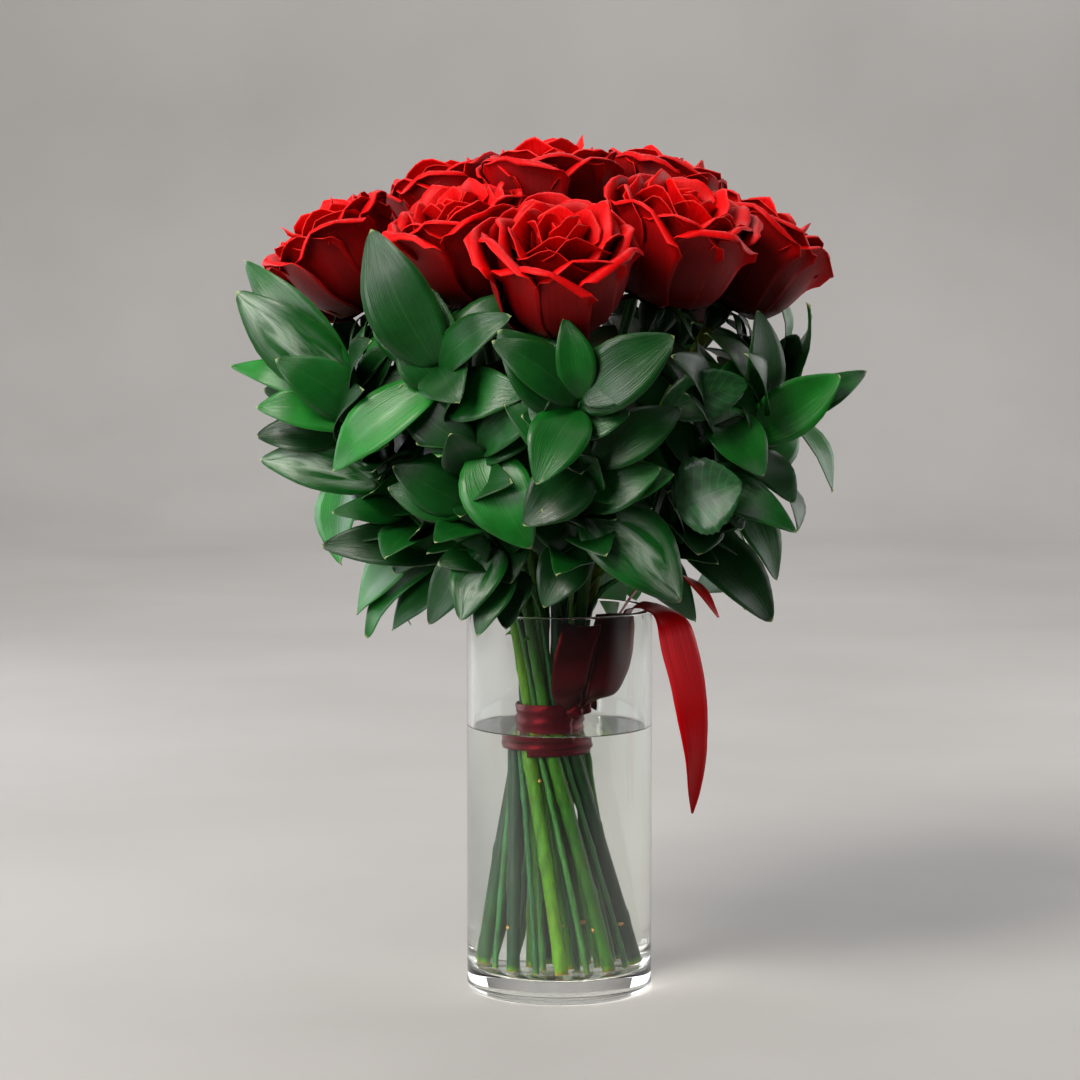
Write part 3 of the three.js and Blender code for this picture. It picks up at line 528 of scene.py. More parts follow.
def green_stem_material(name, stops):
    """A fresh green stem: smooth skin with fine long streaks, paler where it was cut, and tan
    scars where leaves and thorns were taken off."""
    material, add = new_material(name)
    tone = add("Attribute", out="Fac", attribute_name="tone")
    place = add("TexCoord", out="Object")
    lengthwise = add("Mapping", {"Vector": place, "Scale": (1, 1, 0.12)})
    streaks = add("TexNoise", {"Vector": lengthwise, "Scale": 420.0, "Detail": 3.0})
    blotches = add("TexNoise", {"Vector": place, "Scale": 45.0, "Detail": 2.0})
    colour = add("ValToRGB", {"Fac": tone}, stops)
    shade = add("ValToRGB", {"Fac": streaks}, [(0.3, "#8E947C"), (0.65, "#FFFFFF")])
    colour = add("Mix", {"Factor": 0.7, A: colour, B: shade}, **SHADES)
    yellowing = add("ValToRGB", {"Fac": blotches}, [(0.54, "#000000"), (0.8, "#343434")])
    colour = add("Mix", {"Factor": yellowing, A: colour, B: linear("#B0A020")}, **COLOURS)
    relief = add("Bump", {"Strength": 0.3, "Distance": 0.2 * MM, "Height": streaks})
    return finished(material, {"Base Color": colour, "Normal": relief, "Roughness": 0.4,
                               "Specular IOR Level": 0.2})


def satin_material():
    """Polyester satin ribbon: long floats of thread lie along it, so the light gathers in soft
    bands across the folds. Its colour runs by tone from nearly black to bright red: painted shade
    on the bow, the knot and the binding, and a painted highlight on the long tail. The threads are
    0.1 mm, too fine to show, and are drawn at 0.5 mm."""
    material, add = new_material("dark_red_satin")
    uv = add("UVMap", uv_map="UVMap")
    woven = add("Mapping", {"Vector": uv, "Scale": (40, 3, 1)})
    threads = add("TexNoise", {"Vector": woven, "Scale": 1.0, "Detail": 2.0})
    tone = add("Attribute", out="Fac", attribute_name="tone")
    # The dark end of the ramp is painted shade, and its bright end a painted highlight
    painted_light_and_shade = add("ValToRGB", {"Fac": tone}, [
        (0, "#0C0002"), (0.3, "#4A0414"), (0.6, "#9A040C"), (0.85, "#E00812"), (1, "#FF3C44")])
    shade = add("ValToRGB", {"Fac": threads}, [(0.3, "#D8D8D8"), (0.7, "#FFFFFF")])
    colour = add("Mix", {"Factor": 1.0, A: painted_light_and_shade, B: shade}, **SHADES)
    relief = add("Bump", {"Strength": 0.1, "Distance": 0.1 * MM, "Height": threads})
    tangent = add("Tangent", direction_type="UV_MAP", uv_map="UVMap")
    return finished(material, {
        "Base Color": colour, "Normal": relief, "Tangent": tangent, "Roughness": 0.36,
        "Specular IOR Level": 0.65, "Specular Tint": linear("#FF3A40"), "Anisotropic": 0.5,
        "Sheen Weight": 0.1, "Sheen Roughness": 0.3, "Sheen Tint": linear("#FF1810")})


def clear_glass_material():
    """Soda-lime glass, blown into a mould: clear, with a trace of green where it is thick and very
    slow waves in its walls that bend what is behind it."""
    material, add = new_material("clear_soda_glass")
    place = add("TexCoord", out="Object")
    upright = add("Mapping", {"Vector": place, "Scale": (1, 1, 0.35)})
    waves = add("TexNoise", {"Vector": upright, "Scale": 26.0, "Detail": 1.0})
    tint = add("ValToRGB", {"Fac": waves}, [(0.3, "#F8FCFA"), (0.7, "#FEFFFE")])
    relief = add("Bump", {"Strength": 0.1, "Distance": 0.5 * MM, "Height": waves})
    return finished(material, {"Base Color": tint, "Normal": relief, "Roughness": 0.0,
                               "Transmission Weight": 1.0, "IOR": 1.5})


def vase_water_material():
    """Water that flowers have stood in for a day: clear, a trace yellow-green."""
    material, add = new_material("vase_water")
    place = add("TexCoord", out="Object")
    cloud = add("TexNoise", {"Vector": place, "Scale": 20.0, "Detail": 1.0})
    tint = add("ValToRGB", {"Fac": cloud}, [(0.3, "#FAFCF8"), (0.7, "#FDFEFC")])
    return finished(material, {"Base Color": tint, "Roughness": 0.0, "Transmission Weight": 1.0,
                               "IOR": 1.333})


petal_finish = rose_petal_material()
ruscus_finish = ruscus_leaf_material()
rose_leaf_finish = rose_leaf_material()
rose_stem_finish = green_stem_material("rose_stem_skin", [
    (0, "#021A10"), (0.22, "#083216"), (0.45, "#2C6208"), (0.65, "#528206"), (0.86, "#827806"),
    (0.9, "#C89A58"), (1, "#B87A3A")])
twig_finish = green_stem_material("ruscus_twig_skin", [
    (0, "#143E22"), (0.4, "#24602A"), (0.85, "#5A8230"), (0.9, "#A8A060"), (1, "#98804A")])
satin_finish = satin_material()
glass_finish = clear_glass_material()
water_finish = vase_water_material()


# --- The vase and its water

def cylinder(radius, low, high):
    deselect()
    bpy.ops.mesh.primitive_cylinder_add(vertices=VASE["sides"], radius=radius * MM,
                                        depth=(high - low) * MM,
                                        location=(0, 0, (low + high) / 2 * MM))
    bpy.ops.object.transform_apply()
    return bpy.context.object


def step_in(steps):
    """Insets the picked face step by step, and moves it up or down each time."""
    for inset, rise in steps:
        bpy.ops.mesh.inset(thickness=inset * MM)
        bpy.ops.transform.translate(value=(0, 0, rise * MM))


def round_off(size, cuts=8):
    bpy.ops.mesh.bevel(offset=size * MM, segments=cuts, affect="EDGES")


def finish_clear(name, piece, material, slot, node):
    """Clear pieces let the light in to the stems. Their large faces keep their own direction up to
    their edges, so that they reflect and bend light by their form."""
    piece.visible_shadow = False
    finish_piece(name, piece, material, slot, node, sharp=32)
    modified(piece, "WEIGHTED_NORMAL", weight=100, keep_sharp=True)


def make_vase():
    radius, wall, height, floor = VASE["radius"], VASE["wall"], VASE["height"], VASE["floor"]
    inner = radius - wall
    vase = cylinder(radius, 0, height)
    pick(vase, "FACE", lambda p: p[2] > height - 1)
    bpy.ops.mesh.inset(thickness=wall * MM)
    bpy.ops.mesh.extrude_region_move(
        TRANSFORM_OT_translate={"value": (0, 0, (floor - height) * MM)})
    corners = ((inner, floor, "inner_corner", 8), (radius, 0, "corner", 8),
               (radius, height, "lip", 4), (inner, height, "lip", 4))
    for r, z, size, cuts in corners:
        pick(vase, "EDGE", lambda p: abs(p[2] - z) < 0.1 and abs(math.hypot(p[0], p[1]) - r) < 0.2)
        round_off(VASE[size], cuts)
    pick(vase, "FACE", lambda p: p[2] < 0.1 and math.hypot(p[0], p[1]) < 5)
    bpy.ops.mesh.inset(thickness=FOOT_RING * MM)
    step_in(FOOT_HOLLOW)
    finish_clear("glass_vase", vase, glass_finish, "glass", "vase")


def make_water():
    into_glass = 0.1
    low, high = VASE["floor"] - into_glass, WATER_LEVEL - sum(rise for _, rise in WATER_CLIMB)
    water = cylinder(VASE["radius"] - VASE["wall"] + into_glass, low, high)
    pick(water, "FACE", lambda p: p[2] > high - 0.1)
    step_in(WATER_CLIMB)
    pick(water, "EDGE", lambda p: p[2] < low + 0.05)
    round_off(VASE["inner_corner"])
    finish_clear("vase_water", water, water_finish, "water", "water")


make_vase()
make_water()


# --- The bouquet

def bundle(slot, z):
    """Where a stem of the slot is at height z. All cross at the waist and fan out above it and
    below."""
    radius = SLOT[slot[0]]
    azimuth = math.radians(slot[1] + WAIST["turn"])
    below = WAIST["z"] - z
    if below > 0:
        scale, twist = 1 + SPREAD["down"] * below, SPREAD["down_twist"] * below
    else:
        scale, twist = 1 - SPREAD["up"] * below, SPREAD["up_twist"] * below
    lean = 1 - max(below, 0) / WAIST["z"]
    x = radius * (math.cos(azimuth) * scale - math.sin(azimuth) * twist)
    y = radius * (math.sin(azimuth) * scale + math.cos(azimuth) * twist)
    return np.array([x + WAIST["x"] * lean, y, z])


def bundle_stations(slot):
    return [bundle(slot, z) for z in (STEM["foot"], WAIST["below"], WAIST["above"], WAIST["rim"])]


def bloom_space(rose):
    middle = np.array(rose["at"], float)
    axis = unit(middle - DOME_FOCUS)
    across = unit(np.cross((0, 0, 1), axis))
    return dict(axis=axis, across=across, up=np.cross(axis, across),
                base=middle - axis * HEAD_DEPTH)


def in_bloom(space, size, radius, angle, height):
    radius, angle, height = [a[..., None] for a in np.broadcast_arrays(radius, angle, height)]
    return (space["base"] + size * (radius * np.cos(angle)) * space["across"]
            + size * (radius * np.sin(angle)) * space["up"] + size * height * space["axis"])


def pressed_back(points, index):
    """Where blooms touch, their petals give way to each other half way between the two."""
    middle = np.array(ROSES[index]["at"], float)
    for _ in range(2):
        for k, other in enumerate(ROSES):
            away = np.array(other["at"], float) - middle
            distance = np.linalg.norm(away)
            if k == index or distance > PRESS["reach"]:
                continue
            away = away / distance
            limit = distance / 2 - PRESS["margin"]
            free = PRESS["free"] * limit
            soft = limit - free
            reach = (points - middle) @ away
            over = np.maximum(reach - free, 0)
            kept = free + soft * (1 - np.exp(-over / soft))
            points = points + np.where(over > 0, kept - reach, 0)[..., None] * away
    return points


def cubic(outline, t):
    a, b, c, d = (np.array(p, float) for p in outline)
    t = t[..., None]
    s = 1 - t
    return s ** 3 * a + 3 * s * s * t * b + 3 * s * t * t * c + t ** 3 * d


def petal_points(space, rose, index, layer, depth, number):
    """One petal. Its sides roll back further than the middle of its rim, which is left as a
    point."""
    seed = 7 * index + 3 * number + layer["count"] + 5 * depth
    open_rim = min(1, layer["outline"][3][0] / 30)
    u, v = PETAL_COLUMNS[None, :], PETAL_ROWS[:, None]
    t = v * (1 - layer["drop"] * u * u - PETAL["corners"] * u ** 6
             - PETAL["ragged"] * (1 + vary(seed)) * v)
    t = t + PETAL["point"] * (1 - np.abs(u)) ** 1.4 * v
    curve = cubic(layer["outline"], t)
    step = np.diff(curve, axis=0, prepend=curve[:1])
    least, most = layer["curl"]
    corner = smooth((np.abs(u) - 0.62) / 0.38)
    sides = smooth((np.abs(u) - 0.1) / 0.6) * (1 - (1 - PETAL["corner_roll"]) * corner)
    uneven = 1 + PETAL["uneven"] * np.where(u > 0, vary(seed + 2), vary(seed + 5))
    roll = math.radians(least) + math.radians(most - least) * sides * uneven
    roll = roll * smooth((v - PETAL["rolls_from"]) / (1 - PETAL["rolls_from"]))
    c, s = np.cos(roll), np.sin(roll)
    radius = curve[0, :, 0] + np.cumsum(step[..., 0] * c + step[..., 1] * s, 0)
    height = curve[0, :, 1] + np.cumsum(step[..., 1] * c - step[..., 0] * s, 0)
    shift = layer["shutter"] * u * np.minimum(1, 3 * v)
    wave = math.pi * (1.5 + 0.5 * vary(seed + 4))
    radius = radius + shift + layer["lean"] * u * u * v * v
    radius = radius + PETAL["stand"] * open_rim * vary(seed + 6) * v ** 2
    radius = radius + PETAL["wave"] * open_rim * np.sin(wave * u + seed) * v ** 3
    height = height - 0.6 * shift + (1 + open_rim) * vary(seed + 1) * v * v
    height = height + PETAL["wave_up"] * open_rim * np.sin(1.4 * wave * u + 2 * seed) * v ** 4
    spread = np.sin(math.pi * np.minimum(0.72, 0.2 + v)) ** 0.7
    middle = 360 / layer["count"] * number + layer["turn"] + rose["spin"] + 5 * vary(seed + 3)
    angle = np.radians(middle + layer["half"] * spread * u)
    return pressed_back(in_bloom(space, rose["size"], radius, angle, height), index)


def make_bloom(rose, index, blank):
    space = bloom_space(rose)
    petals = []
    for depth, layer in enumerate(PETAL_LAYERS):
        for number in range(layer["count"]):
            tone = 0.5 + 0.45 * vary(11 * index + 5 * number + 3 * depth)
            points = petal_points(space, rose, index, layer, depth, number)
            petals.append(shaped(blank, points, tone))
    bloom = thickened(joined(petals), "petal")
    path = space["base"] + RECEPTACLE["heights"][:, None] * space["axis"]
    receptacle = tube(path, rose["size"] * RECEPTACLE["radii"], 20, 0.1)
    finish_piece(f"rose_head_{index + 1}", joined([bloom, receptacle]), petal_finish, "petal",
                 f"rose_bloom_{index + 1}")


def rose_stations(rose):
    space = bloom_space(rose)
    lower = bundle_stations(rose["slot"])
    start, end = lower[3], space["base"] - space["axis"] * 10
    rise = unit(start - lower[2])
    reach = np.linalg.norm(start - end) / 3
    curve = cubic((start, start + rise * reach, end - space["axis"] * reach, end),
                  np.array([0.35, 0.7]))
    return [*lower, *curve, end]


def on_stations(stations, place):
    low = min(int(place), len(stations) - 2)
    return stations[low] + (stations[low + 1] - stations[low]) * (place - low)


def leaf_axes(foot, tip, facing):
    length = np.linalg.norm(tip - foot)
    along = (tip - foot) / length
    normal = unit(facing - along * np.dot(facing, along))
    return along, length, normal, np.cross(normal, along)


def on_blade(foot, axes, run, rise, across):
    """Points of a leaf, by how far they are along it, off its face and to its side."""
    along, _, normal, side = axes
    return foot + run[..., None] * along + rise[..., None] * normal + across[..., None] * side


def facing_of(foot, tip):
    """Leaves of the front half face outwards, towards the front and a little up."""
    middle = (foot + tip) / 2
    outward = unit((middle[0], middle[1], 0))
    return unit((0.5 * outward[0], 0.5 * outward[1] - 0.6, 0.38))


def turned(p, degrees):
    c, s = math.cos(math.radians(degrees)), math.sin(math.radians(degrees))
    return np.array([p[0] * c - p[1] * s, p[0] * s + p[1] * c, p[2]])


def placed(p, degrees):
    moved = turned(p, degrees)
    if degrees:
        moved = moved * (COPY["grow"], COPY["grow"], 1) - (0, 0, COPY["lower"])
    return moved


def leaf_points(foot, tip, width, facing, lift, seed):
    """A pointed leaf, folded a little along its midrib and arched over its length."""
    axes = leaf_axes(foot, tip, facing)
    length = axes[1]
    u, v = LEAF_COLUMNS[None, :], LEAF_ROWS[:, None]
    share = np.sin(math.pi * v ** 0.84) ** 0.64 * (1 - 0.14 * smooth((v - 0.6) / 0.4))
    across = np.maximum(width / 2 * share, 0.3) * u
    fold = LEAF["cup"] * (np.sqrt(across ** 2 + 4) - 2) * (1 + 0.5 * vary(seed + 3))
    wave = LEAF["wave"] * length * np.sin(2 * math.pi * (1.1 * v + 0.37 * seed))
    rise = LEAF["arch"] * length * 4 * v * (1 - v) + lift * v + fold
    rise = rise + wave * u * np.minimum(1, 4 * v)
    rise = rise - LEAF["droop"] * length * (1 + vary(seed + 5)) * smooth((v - 0.7) / 0.3)
    bow = LEAF["bow"] * length * vary(seed + 9) * np.sin(math.pi * v)
    return on_blade(foot, axes, v * length, rise, across + bow)


def inner_leaf_tips(path, number):
    """The places and tips of the small leaves inside the collar. They fan out round the twig, and
    stay under the roses, over the rim and within the leaves that show."""
    found = []
    above = [k for k in range(1, len(path) - 1) if path[k][2] > INNER_LEAVES["low"]]
    for j, k in enumerate(above[::INNER_LEAVES["every"]]):
        swing = 2.4 * j + number
        ahead = unit(path[k + 1] - path[k - 1])
        out = unit(np.cross(ahead, (math.cos(swing), math.sin(swing), 0.2)))
        reach = INNER_LEAVES["length"] * (1 + 0.15 * vary(5 * j + number))
        tip = path[k] + reach * unit(0.8 * ahead + out)
        spread = math.hypot(tip[0], tip[1])
        tip[:2] *= min(1, INNER_LEAVES["spread"] / spread)
        tip[2] = np.clip(tip[2], INNER_LEAVES["least"], INNER_LEAVES["high"])
        found.append((path[k], tip, unit(unit((*tip[:2], 0)) + (0, -0.3, 0.7))))
    # Each twig ends in a few more that lean in under the roses
    end = path[-1]
    outward = math.atan2(end[1], end[0])
    for j, swing in enumerate(TOP_LEAVES["turns"]):
        angle = outward + math.radians(swing + 8 * vary(j + number))
        lean = np.array([math.cos(angle), math.sin(angle), TOP_LEAVES["rise"][j]])
        tip = end + TOP_LEAVES["length"] * unit(lean)
        tip[2] = min(tip[2], INNER_LEAVES["high"] + 4)
        found.append((end, tip, unit(unit((*end[:2], 0)) + (0, 0, 0.3))))
    return found


def node_points(name):
    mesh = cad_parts[name].data
    co = np.zeros(len(mesh.vertices) * 3, np.float32)
    mesh.vertices.foreach_get("co", co)
    return co.reshape(-1, 3) / MM


def lift_of(tip, normal, points):
    """How far the solid's own leaf was bent clear of its neighbours."""
    gaps = [np.min(np.linalg.norm(points - (tip + normal * lift), axis=1)) for lift in LIFTS]
    return LIFTS[int(np.argmin(gaps))]


def make_ruscus(number, twig, turn, slot, blank):
    name = f"ruscus_stem_{number}"
    stations = [*bundle_stations(slot), *[placed(p, turn) for p in twig["course"]]]
    points = node_points(name)
    path = spaced(rounded(stations), 4)
    steps = np.arange(len(path))
    nodes = 1 + 0.22 * np.exp(-(steps % 7 - 3.0) ** 2)
    radii = np.linspace(STEM["twig"], 0.6 * STEM["twig"], len(path)) * nodes
    tone = np.concatenate([[0.95, 0.95], np.full(len(path) - 1, 0.4 + 0.3 * vary(number)), [0.4]])
    stem = tube(path, radii, 8, tone)
    larger = COPY["leaf"] if turn else 1
    leaves = []
    for k, (place, tip_at, front_width, *mark) in enumerate(twig["leaves"]):
        if turn and "front" in mark:
            continue
        foot = on_stations(stations, place)
        tip = foot + (placed(tip_at, turn) - foot) * larger
        width = max(larger, LEAF["fuller"]) * front_width
        facing = turned(facing_of(turned(foot, -turn), np.array(tip_at, float)), turn)
        lift = lift_of(tip, leaf_axes(foot, tip, facing)[2], points)
        if turn:
            # At the sides a leaf that hangs turns its face a little to the front
            facing = unit(facing + (0, -0.6 * abs(facing[0]), 0))
        near = path[np.argmin(np.linalg.norm(path - foot, axis=1))]
        seed = 13 * number + 7 * k
        shape = leaf_points(near, tip, width, facing, lift, seed)
        # Marked front leaves get a tone over one, which paints a grey-white glare on them
        waxy = "waxy" in mark and not turn
        leaves.append(shaped(blank, shape, LEAF["waxy"] if waxy else 0.5 + 0.45 * vary(seed)))
    for j, (foot, tip, facing) in enumerate(inner_leaf_tips(path, number)):
        shape = leaf_points(foot, tip, INNER_LEAVES["width"], facing, 0, number + 11 * j)
        # Inner leaves are given a darker tone: painted shade inside the collar
        leaves.append(shaped(blank, shape, 0.25 + 0.2 * vary(number + 3 * j)))
    spray = thickened(joined(leaves), "leaf")
    finish_piece(f"ruscus_twig_{number}", stem, twig_finish, "ruscus", name)
    finish_piece(f"ruscus_leaves_{number}", spray, ruscus_finish, "ruscus", name)


def make_sepals(rose):
    """The hip, and five sepals that spread from it and hang a little."""
    space, size = bloom_space(rose), rose["size"]
    path = space["base"] + size * HIP["heights"][:, None] * space["axis"]
    hip = tube(path, HIP["radii"] * size, 16, 0.25)
    u, v = np.linspace(-1, 1, 5)[None, :], np.linspace(0, 1, 9)[:, None]
    radius = SEPALS["foot"] + SEPALS["length"] * v + 0 * u
    height = -2.6 + 3.2 * np.sin(math.pi * v ** 0.8) - 8.5 * v * v + 0.5 * np.abs(u) * (1 - v)
    half = 0.62 * (1 - v) ** 0.8 * SEPALS["foot"] / radius + 0.02
    pieces = []
    for k in range(SEPALS["count"]):
        angle = 2 * math.pi * k / SEPALS["count"] + half * u * (1 + 0.9 * v)
        pieces.append(sheet_from(in_bloom(space, size, radius, angle, height), 0.3))
    return [hip, thickened(joined(pieces), "sepal")]


def make_rose_stem(rose, number):
    path = spaced(rounded(rose_stations(rose)), 4)
    run = 4.0 * np.arange(len(path))
    swelling = np.exp(-(((run + 17 * number) % 52) - 26) ** 2 / 10)
    radii = STEM["rose"] * (1.1 - 0.0004 * run) * (1 + 0.16 * swelling)
    # Stems a little right of the middle are yellower and paler, and those at the sides darker
    yellowing = math.exp(-((path[0][0] - 10) / 20) ** 2)
    colour = min(max(0.16 + 0.5 * yellowing + 0.22 * vary(3 * number + 1), 0), 0.78)
    tone = np.concatenate([[0.9, 0.9], colour + 0.06 * np.sin(run[1:] / 23 + number), [colour]])
    pieces = [tube(path, radii, 12, tone)]
    # Leaf scars below the waist, thorns above it
    blank = grid_blank(6, 4)
    ring = np.linspace(0, 2 * math.pi, 7)[:, None]
    for k, at in enumerate(range(6, len(path) - 5, 5)):
        swing = 2.4 * k + number
        ahead = unit(path[at + 1] - path[at - 1])
        out = unit(np.cross(ahead, (math.cos(swing), math.sin(swing), 0.1)))
        side = np.cross(ahead, out)
        scar = path[at][2] < WAIST["z"]
        if scar and k % 2:
            continue
        length, wide, tall, hook = SCAR if scar else THORN
        rows = [np.repeat(path[at][None], 7, 0)]
        for v in (0, 0.25, 0.6, 1):
            size = math.sqrt(1 - v * v) if scar else (1 - v) ** 1.2
            centre = path[at] + out * (STEM["rose"] * 0.9 + length * v) - ahead * hook * v * v
            rows.append(centre + size * (wide * np.cos(ring) * side + tall * np.sin(ring) * ahead))
        bit = shaped(blank, rows, 0.94 if scar else 0.5)
        weld(bit)
        pieces.append(bit)
    bpy.data.objects.remove(blank)
    pieces += make_sepals(rose)
    finish_piece(f"rose_stem_piece_{number}", joined(pieces), rose_stem_finish, "rose_stem",
                 f"rose_stem_{number}")


def make_rose_leaf(entry, number):
    """A rose leaflet with forward teeth, on its stalk."""
    rose = ROSES[entry["stem"] - 1]
    stations = rose_stations(rose)
    foot, tip = np.array(entry["foot"], float), np.array(entry["tip"], float)
    axes = leaf_axes(foot, tip, facing_of(foot, tip))
    along, length = axes[:2]
    u, v = np.linspace(-1, 1, 9)[None, :], np.linspace(0, 1, 25)[:, None]
    teeth = 1 - 0.08 * ((v * 12) % 1) * (v > 0.08) * (v < 0.96)
    half = np.maximum(entry["width"] / 2 * np.sin(math.pi * v ** 0.85) ** 0.7 * teeth, 0.3)
    across = half * u
    rise = 0.09 * length * 4 * v * (1 - v) + LEAF["cup"] * np.abs(across)
    rise = rise + 0.5 * np.sin(24 * v) * np.abs(u) * (1 - v)
    points = on_blade(foot, axes, v * length, rise, across)
    leaf = thickened(sheet_from(points, 0.4), "rose_leaf")
    root = on_stations(stations, entry["station"])
    bend = (root + foot) / 2 + (0, 0, 4)
    course = spaced(rounded([root, bend, foot + along * 1.5]), 3)
    stalk = tube(course, np.full(len(course), 0.9), 8, 0.4)
    node = f"rose_stem_{entry['stem']}"
    finish_piece(f"rose_leaf_stalk_{number}", stalk, rose_stem_finish, "rose_stem", node)
    finish_piece(f"rose_leaf_{number}", leaf, rose_leaf_finish, "rose_stem", node)


petal_blank = grid_blank(len(PETAL_COLUMNS) - 1, len(PETAL_ROWS) - 1)
for index, rose in enumerate(ROSES):
    make_bloom(rose, index, petal_blank)
    make_rose_stem(rose, index + 1)
bpy.data.objects.remove(petal_blank)

for number, entry in enumerate(ROSE_LEAVES, 1):
    make_rose_leaf(entry, number)

sprays = [(twig, 0, twig["slot"]) for twig in TWIGS]
for twig in TWIGS:
    for turn, azimuth in twig["copies"]:
        sprays.append((twig, turn, (twig["slot"][0], azimuth)))
leaf_blank = grid_blank(len(LEAF_COLUMNS) - 1, len(LEAF_ROWS) - 1)
for number, (twig, turn, slot) in enumerate(sprays, 1):
    make_ruscus(number, twig, turn, slot, leaf_blank)
bpy.data.objects.remove(leaf_blank)


# --- The satin ribbon

def ribbon_piece(name, stations, crumple, seed, painted_light_tones, node):
    """A strip of ribbon through its stations, with soft lengthwise folds and creases across."""
    course = np.array([(*p, *(10 * unit(side)), 10 * share) for p, side, share in stations])
    course = spaced(rounded(course), STEP)
    point, side, share = course[:, :3], unit(course[:, 3:6]), course[:, 6] / 10
    along = unit(np.gradient(point, axis=0))
    side = unit(side - along * np.sum(side * along, 1, keepdims=True))
    normal = np.cross(along, side)
    u = np.linspace(-1, 1, 9)[None, :]
    run = STEP * np.arange(len(point))[:, None]
    offset = crumple * (0.7 * np.cos(2.0 * u + seed + 0.04 * run)
                        + 0.3 * np.sin(0.12 * run + 1.6 * u + seed)
                        + 0.08 * np.sin(0.5 * run - 3 * u))
    spread = RIBBON_WIDTH / 2 * share[:, None] * u
    rows = (point[:, None] + spread[..., None] * side[:, None]
            + (offset * np.minimum(1, share[:, None]))[..., None] * normal[:, None])
    # The tones paint light and shade along the strip
    tone = np.interp(np.linspace(0, 1, len(rows)), np.linspace(0, 1, len(painted_light_tones)), painted_light_tones)
    piece = thickened(sheet_from(rows, tone), "satin")
    return finish_piece(name, piece, satin_finish, "satin", node), float(run[-1, 0]) * MM


def make_binding():
    """Wound round the stems twice and a bit, creased where it is pulled in."""
    turns = BINDING["turns"]
    count = int(turns * 60)
    share = np.linspace(0, 1, count)[:, None]
    u = np.linspace(-1, 1, 15)[None, :]
    angle = math.radians(KNOT["azimuth"]) + 2 * math.pi * turns * (share - 1)
    z = BINDING["low"] + (BINDING["high"] - BINDING["low"]) * share + RIBBON_WIDTH / 2 * u * 0.98
    creases = 0.5 * np.sin(0.95 * z + 1.5 * np.sin(2 * angle)) + 0.35 * np.sin(1.9 * z - 3 * angle)
    radius = BINDING["radius"] + BINDING["per_turn"] * turns * share * 1.2 + 0.8 * creases
    rows = np.stack([radius * np.cos(angle) + WAIST["x"], radius * np.sin(angle), z], -1)
    # The low tone paints the binding dark: painted shade
    piece = thickened(sheet_from(rows, 0.17), "satin")
    finish_piece("ribbon_binding_piece", piece, satin_finish, "satin", "ribbon_binding")


def make_knot():
    """The ribbon pulled tight over itself: a small bundle of folds."""
    azimuth = math.radians(KNOT["azimuth"])
    out = np.array([math.cos(azimuth), math.sin(azimuth), 0])
    side = unit((-out[1], out[0], 0.35))
    centre = out * KNOT["away"] + (WAIST["x"], 0, KNOT["z"])
    share = np.linspace(-1, 1, 13)[:, None]
    around = np.linspace(0, 2 * math.pi, 29)[None, :]
    bulge = (1 - share ** 4) * KNOT["radius"] * (1 - 0.25 * np.cos(math.pi * share) ** 2)
    folds = 1 + 0.1 * np.sin(7 * around + 3 * share) + 0.05 * np.sin(12 * around)
    # The low tone paints the knot dark: painted shade
    piece = tube(centre + share * KNOT["half"] * side, np.maximum(bulge, 0.6) * folds, 28, 0.15)
    return finish_piece("ribbon_knot", piece, satin_finish, "satin", "ribbon_bow")


make_binding()
knot = make_knot()
# The tone lists paint light and shade along each strip: the bow loops nearly black as painted
# shade, and the long tail dark by the knot with a painted highlight about half way along.
for name, stations, crumple, seed, painted_light_tones, node, held, carries in (
        ("ribbon_right_loop", RIGHT_LOOP, 1.2, 1, (0.06, 0, 0.06), "ribbon_bow", "folded", [knot]),
        ("ribbon_front_loop", FRONT_LOOP, 1.0, 3, (0.1, 0, 0.05), "ribbon_bow", "folded", []),
        ("ribbon_long_tail_piece", LONG_TAIL, 0.9, 2, (0.1, 0.1, 0.25, 1, 0.9, 0.74, 0.6),
         "ribbon_long_tail", "hung", []),
        ("ribbon_short_tail_piece", SHORT_TAIL, 0.8, 4, (0.1, 0.3, 0.8, 0.9),
         "ribbon_short_tail", "hung", [])):
    piece, length = ribbon_piece(name, stations, crumple, seed, painted_light_tones, node)


# --- Stage and light

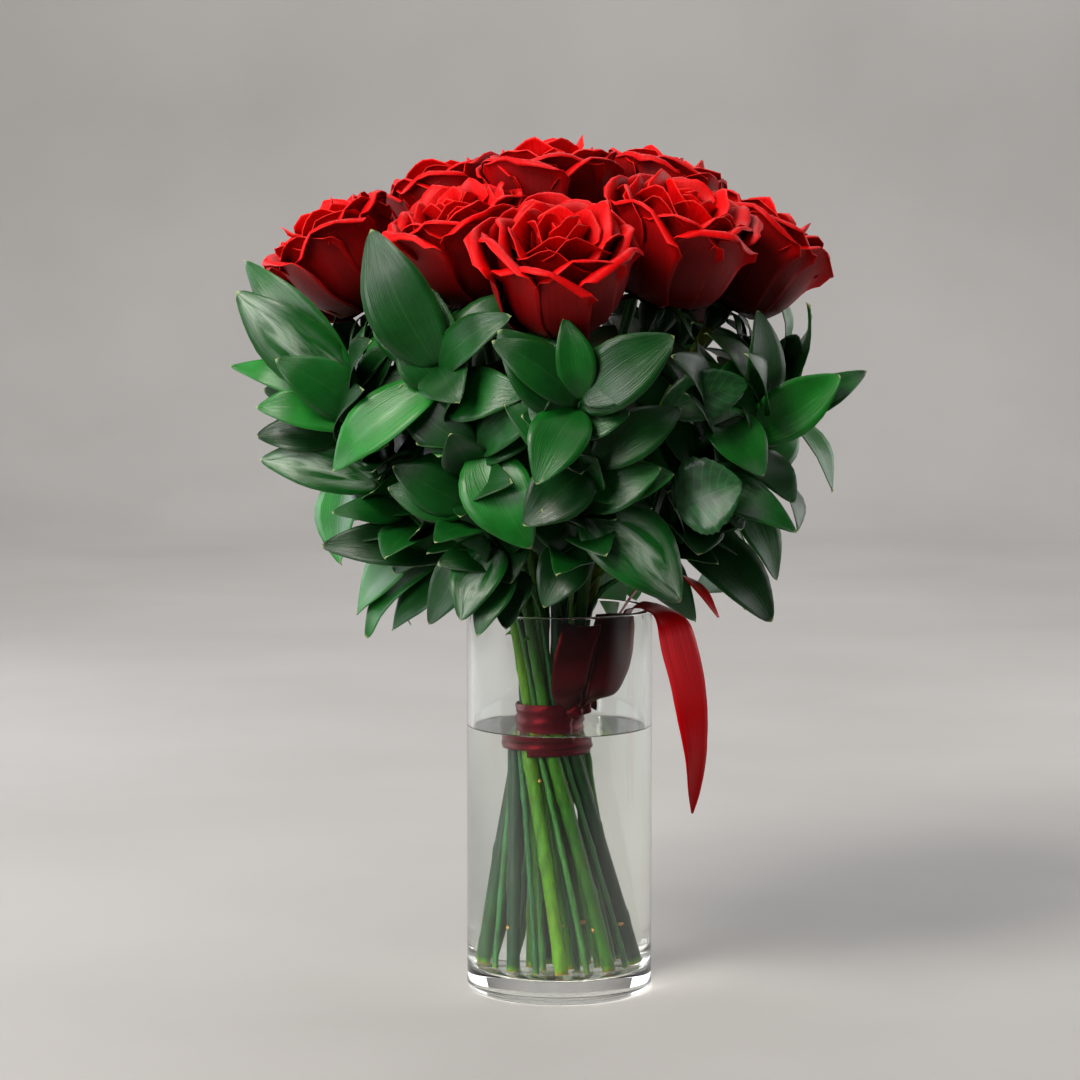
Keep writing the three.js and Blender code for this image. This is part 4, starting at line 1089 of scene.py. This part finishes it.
def make_stage():
    """A pale floor that turns up into a plain wall. Far in front it is dark, like the unlit part
    of a studio, so that the glass doesn't mirror it."""
    half, back, bend, top = 4, 2.6, 0.6, 3.6
    profile = [(-half, 0), (back, 0)]
    for k in range(1, 9):
        a = math.pi / 2 * k / 8
        profile.append((back + bend * math.sin(a), bend - bend * math.cos(a)))
    profile.append((back + bend, top))
    vertices = [(x, y, z) for x in (-half, half) for y, z in profile]
    n = len(profile)
    mesh = bpy.data.meshes.new("stage")
    mesh.from_pydata(vertices, [], [(k, k + n, k + n + 1, k + 1) for k in range(n - 1)])
    for polygon in mesh.polygons:
        polygon.use_smooth = True
    stage = bpy.data.objects.new("stage", mesh)
    link(stage)
    material, add = new_material("pale_matt_board")
    place = add("TexCoord", out="Object")
    mottle = add("TexNoise", {"Vector": place, "Scale": 3.0, "Detail": 3.0})
    colour = add("ValToRGB", {"Fac": mottle}, [(0.3, "#A6A4A2"), (0.7, "#AEACAA")])
    depth = add("SeparateXYZ", {"Vector": place}, out="Y")
    lit = add("MapRange", {"Value": depth, "From Min": -0.65, "From Max": -0.22})
    colour = add("Mix", {"Factor": lit, A: linear("#343332"), B: colour}, **COLOURS)
    mesh.materials.append(finished(material, {"Base Color": colour, "Roughness": 0.85,
                                              "Specular IOR Level": 0.2}))


def area_light(name, at, towards, size, power, colour="#FFFFFF"):
    """A soft rectangular light, aimed from one point at another. In metres and watts."""
    data = bpy.data.lights.new(name, "AREA")
    data.shape = "RECTANGLE"
    data.size, data.size_y = size
    data.energy = power
    data.color = linear(colour)[:3]
    light = bpy.data.objects.new(name, data)
    link(light)
    ahead = unit(np.array(towards, float) - at)
    light.location = at
    light.rotation_euler = (math.acos(-ahead[2]), 0, math.atan2(ahead[1], ahead[0]) - math.pi / 2)


make_stage()
area_light("window_upper_left", (-1.3, -1.4, 2.1), (0, 0, 0.32), (1.0, 1.0), 68, "#FFF8F0")
area_light("ceiling", (0.2, 0.2, 2.6), (0, 0.1, 0.3), (2.2, 1.6), 16)
area_light("panel_left", (-1.25, 0.6, 0.5), (0, 0, 0.2), (1.4, 0.7), 9, "#F6F8FF")
area_light("panel_right", (1.25, 0.6, 0.5), (0, 0, 0.2), (1.4, 0.7), 7)
area_light("fill_left", (-1.25, -1.25, 0.72), (0, 0, 0.36), (1.0, 0.8), 15)
area_light("wall_wash", (0.2, 1.9, 2.6), (0, 3.0, 0.5), (2.4, 0.6), 52)

world = bpy.data.worlds.new("studio")
bpy.context.scene.world = world
world.use_nodes = True
background = world.node_tree.nodes["Background"].inputs
background["Color"].default_value = linear("#E8E6E4")
background["Strength"].default_value = 0.06
bpy.context.scene.view_settings.view_transform = "Standard"
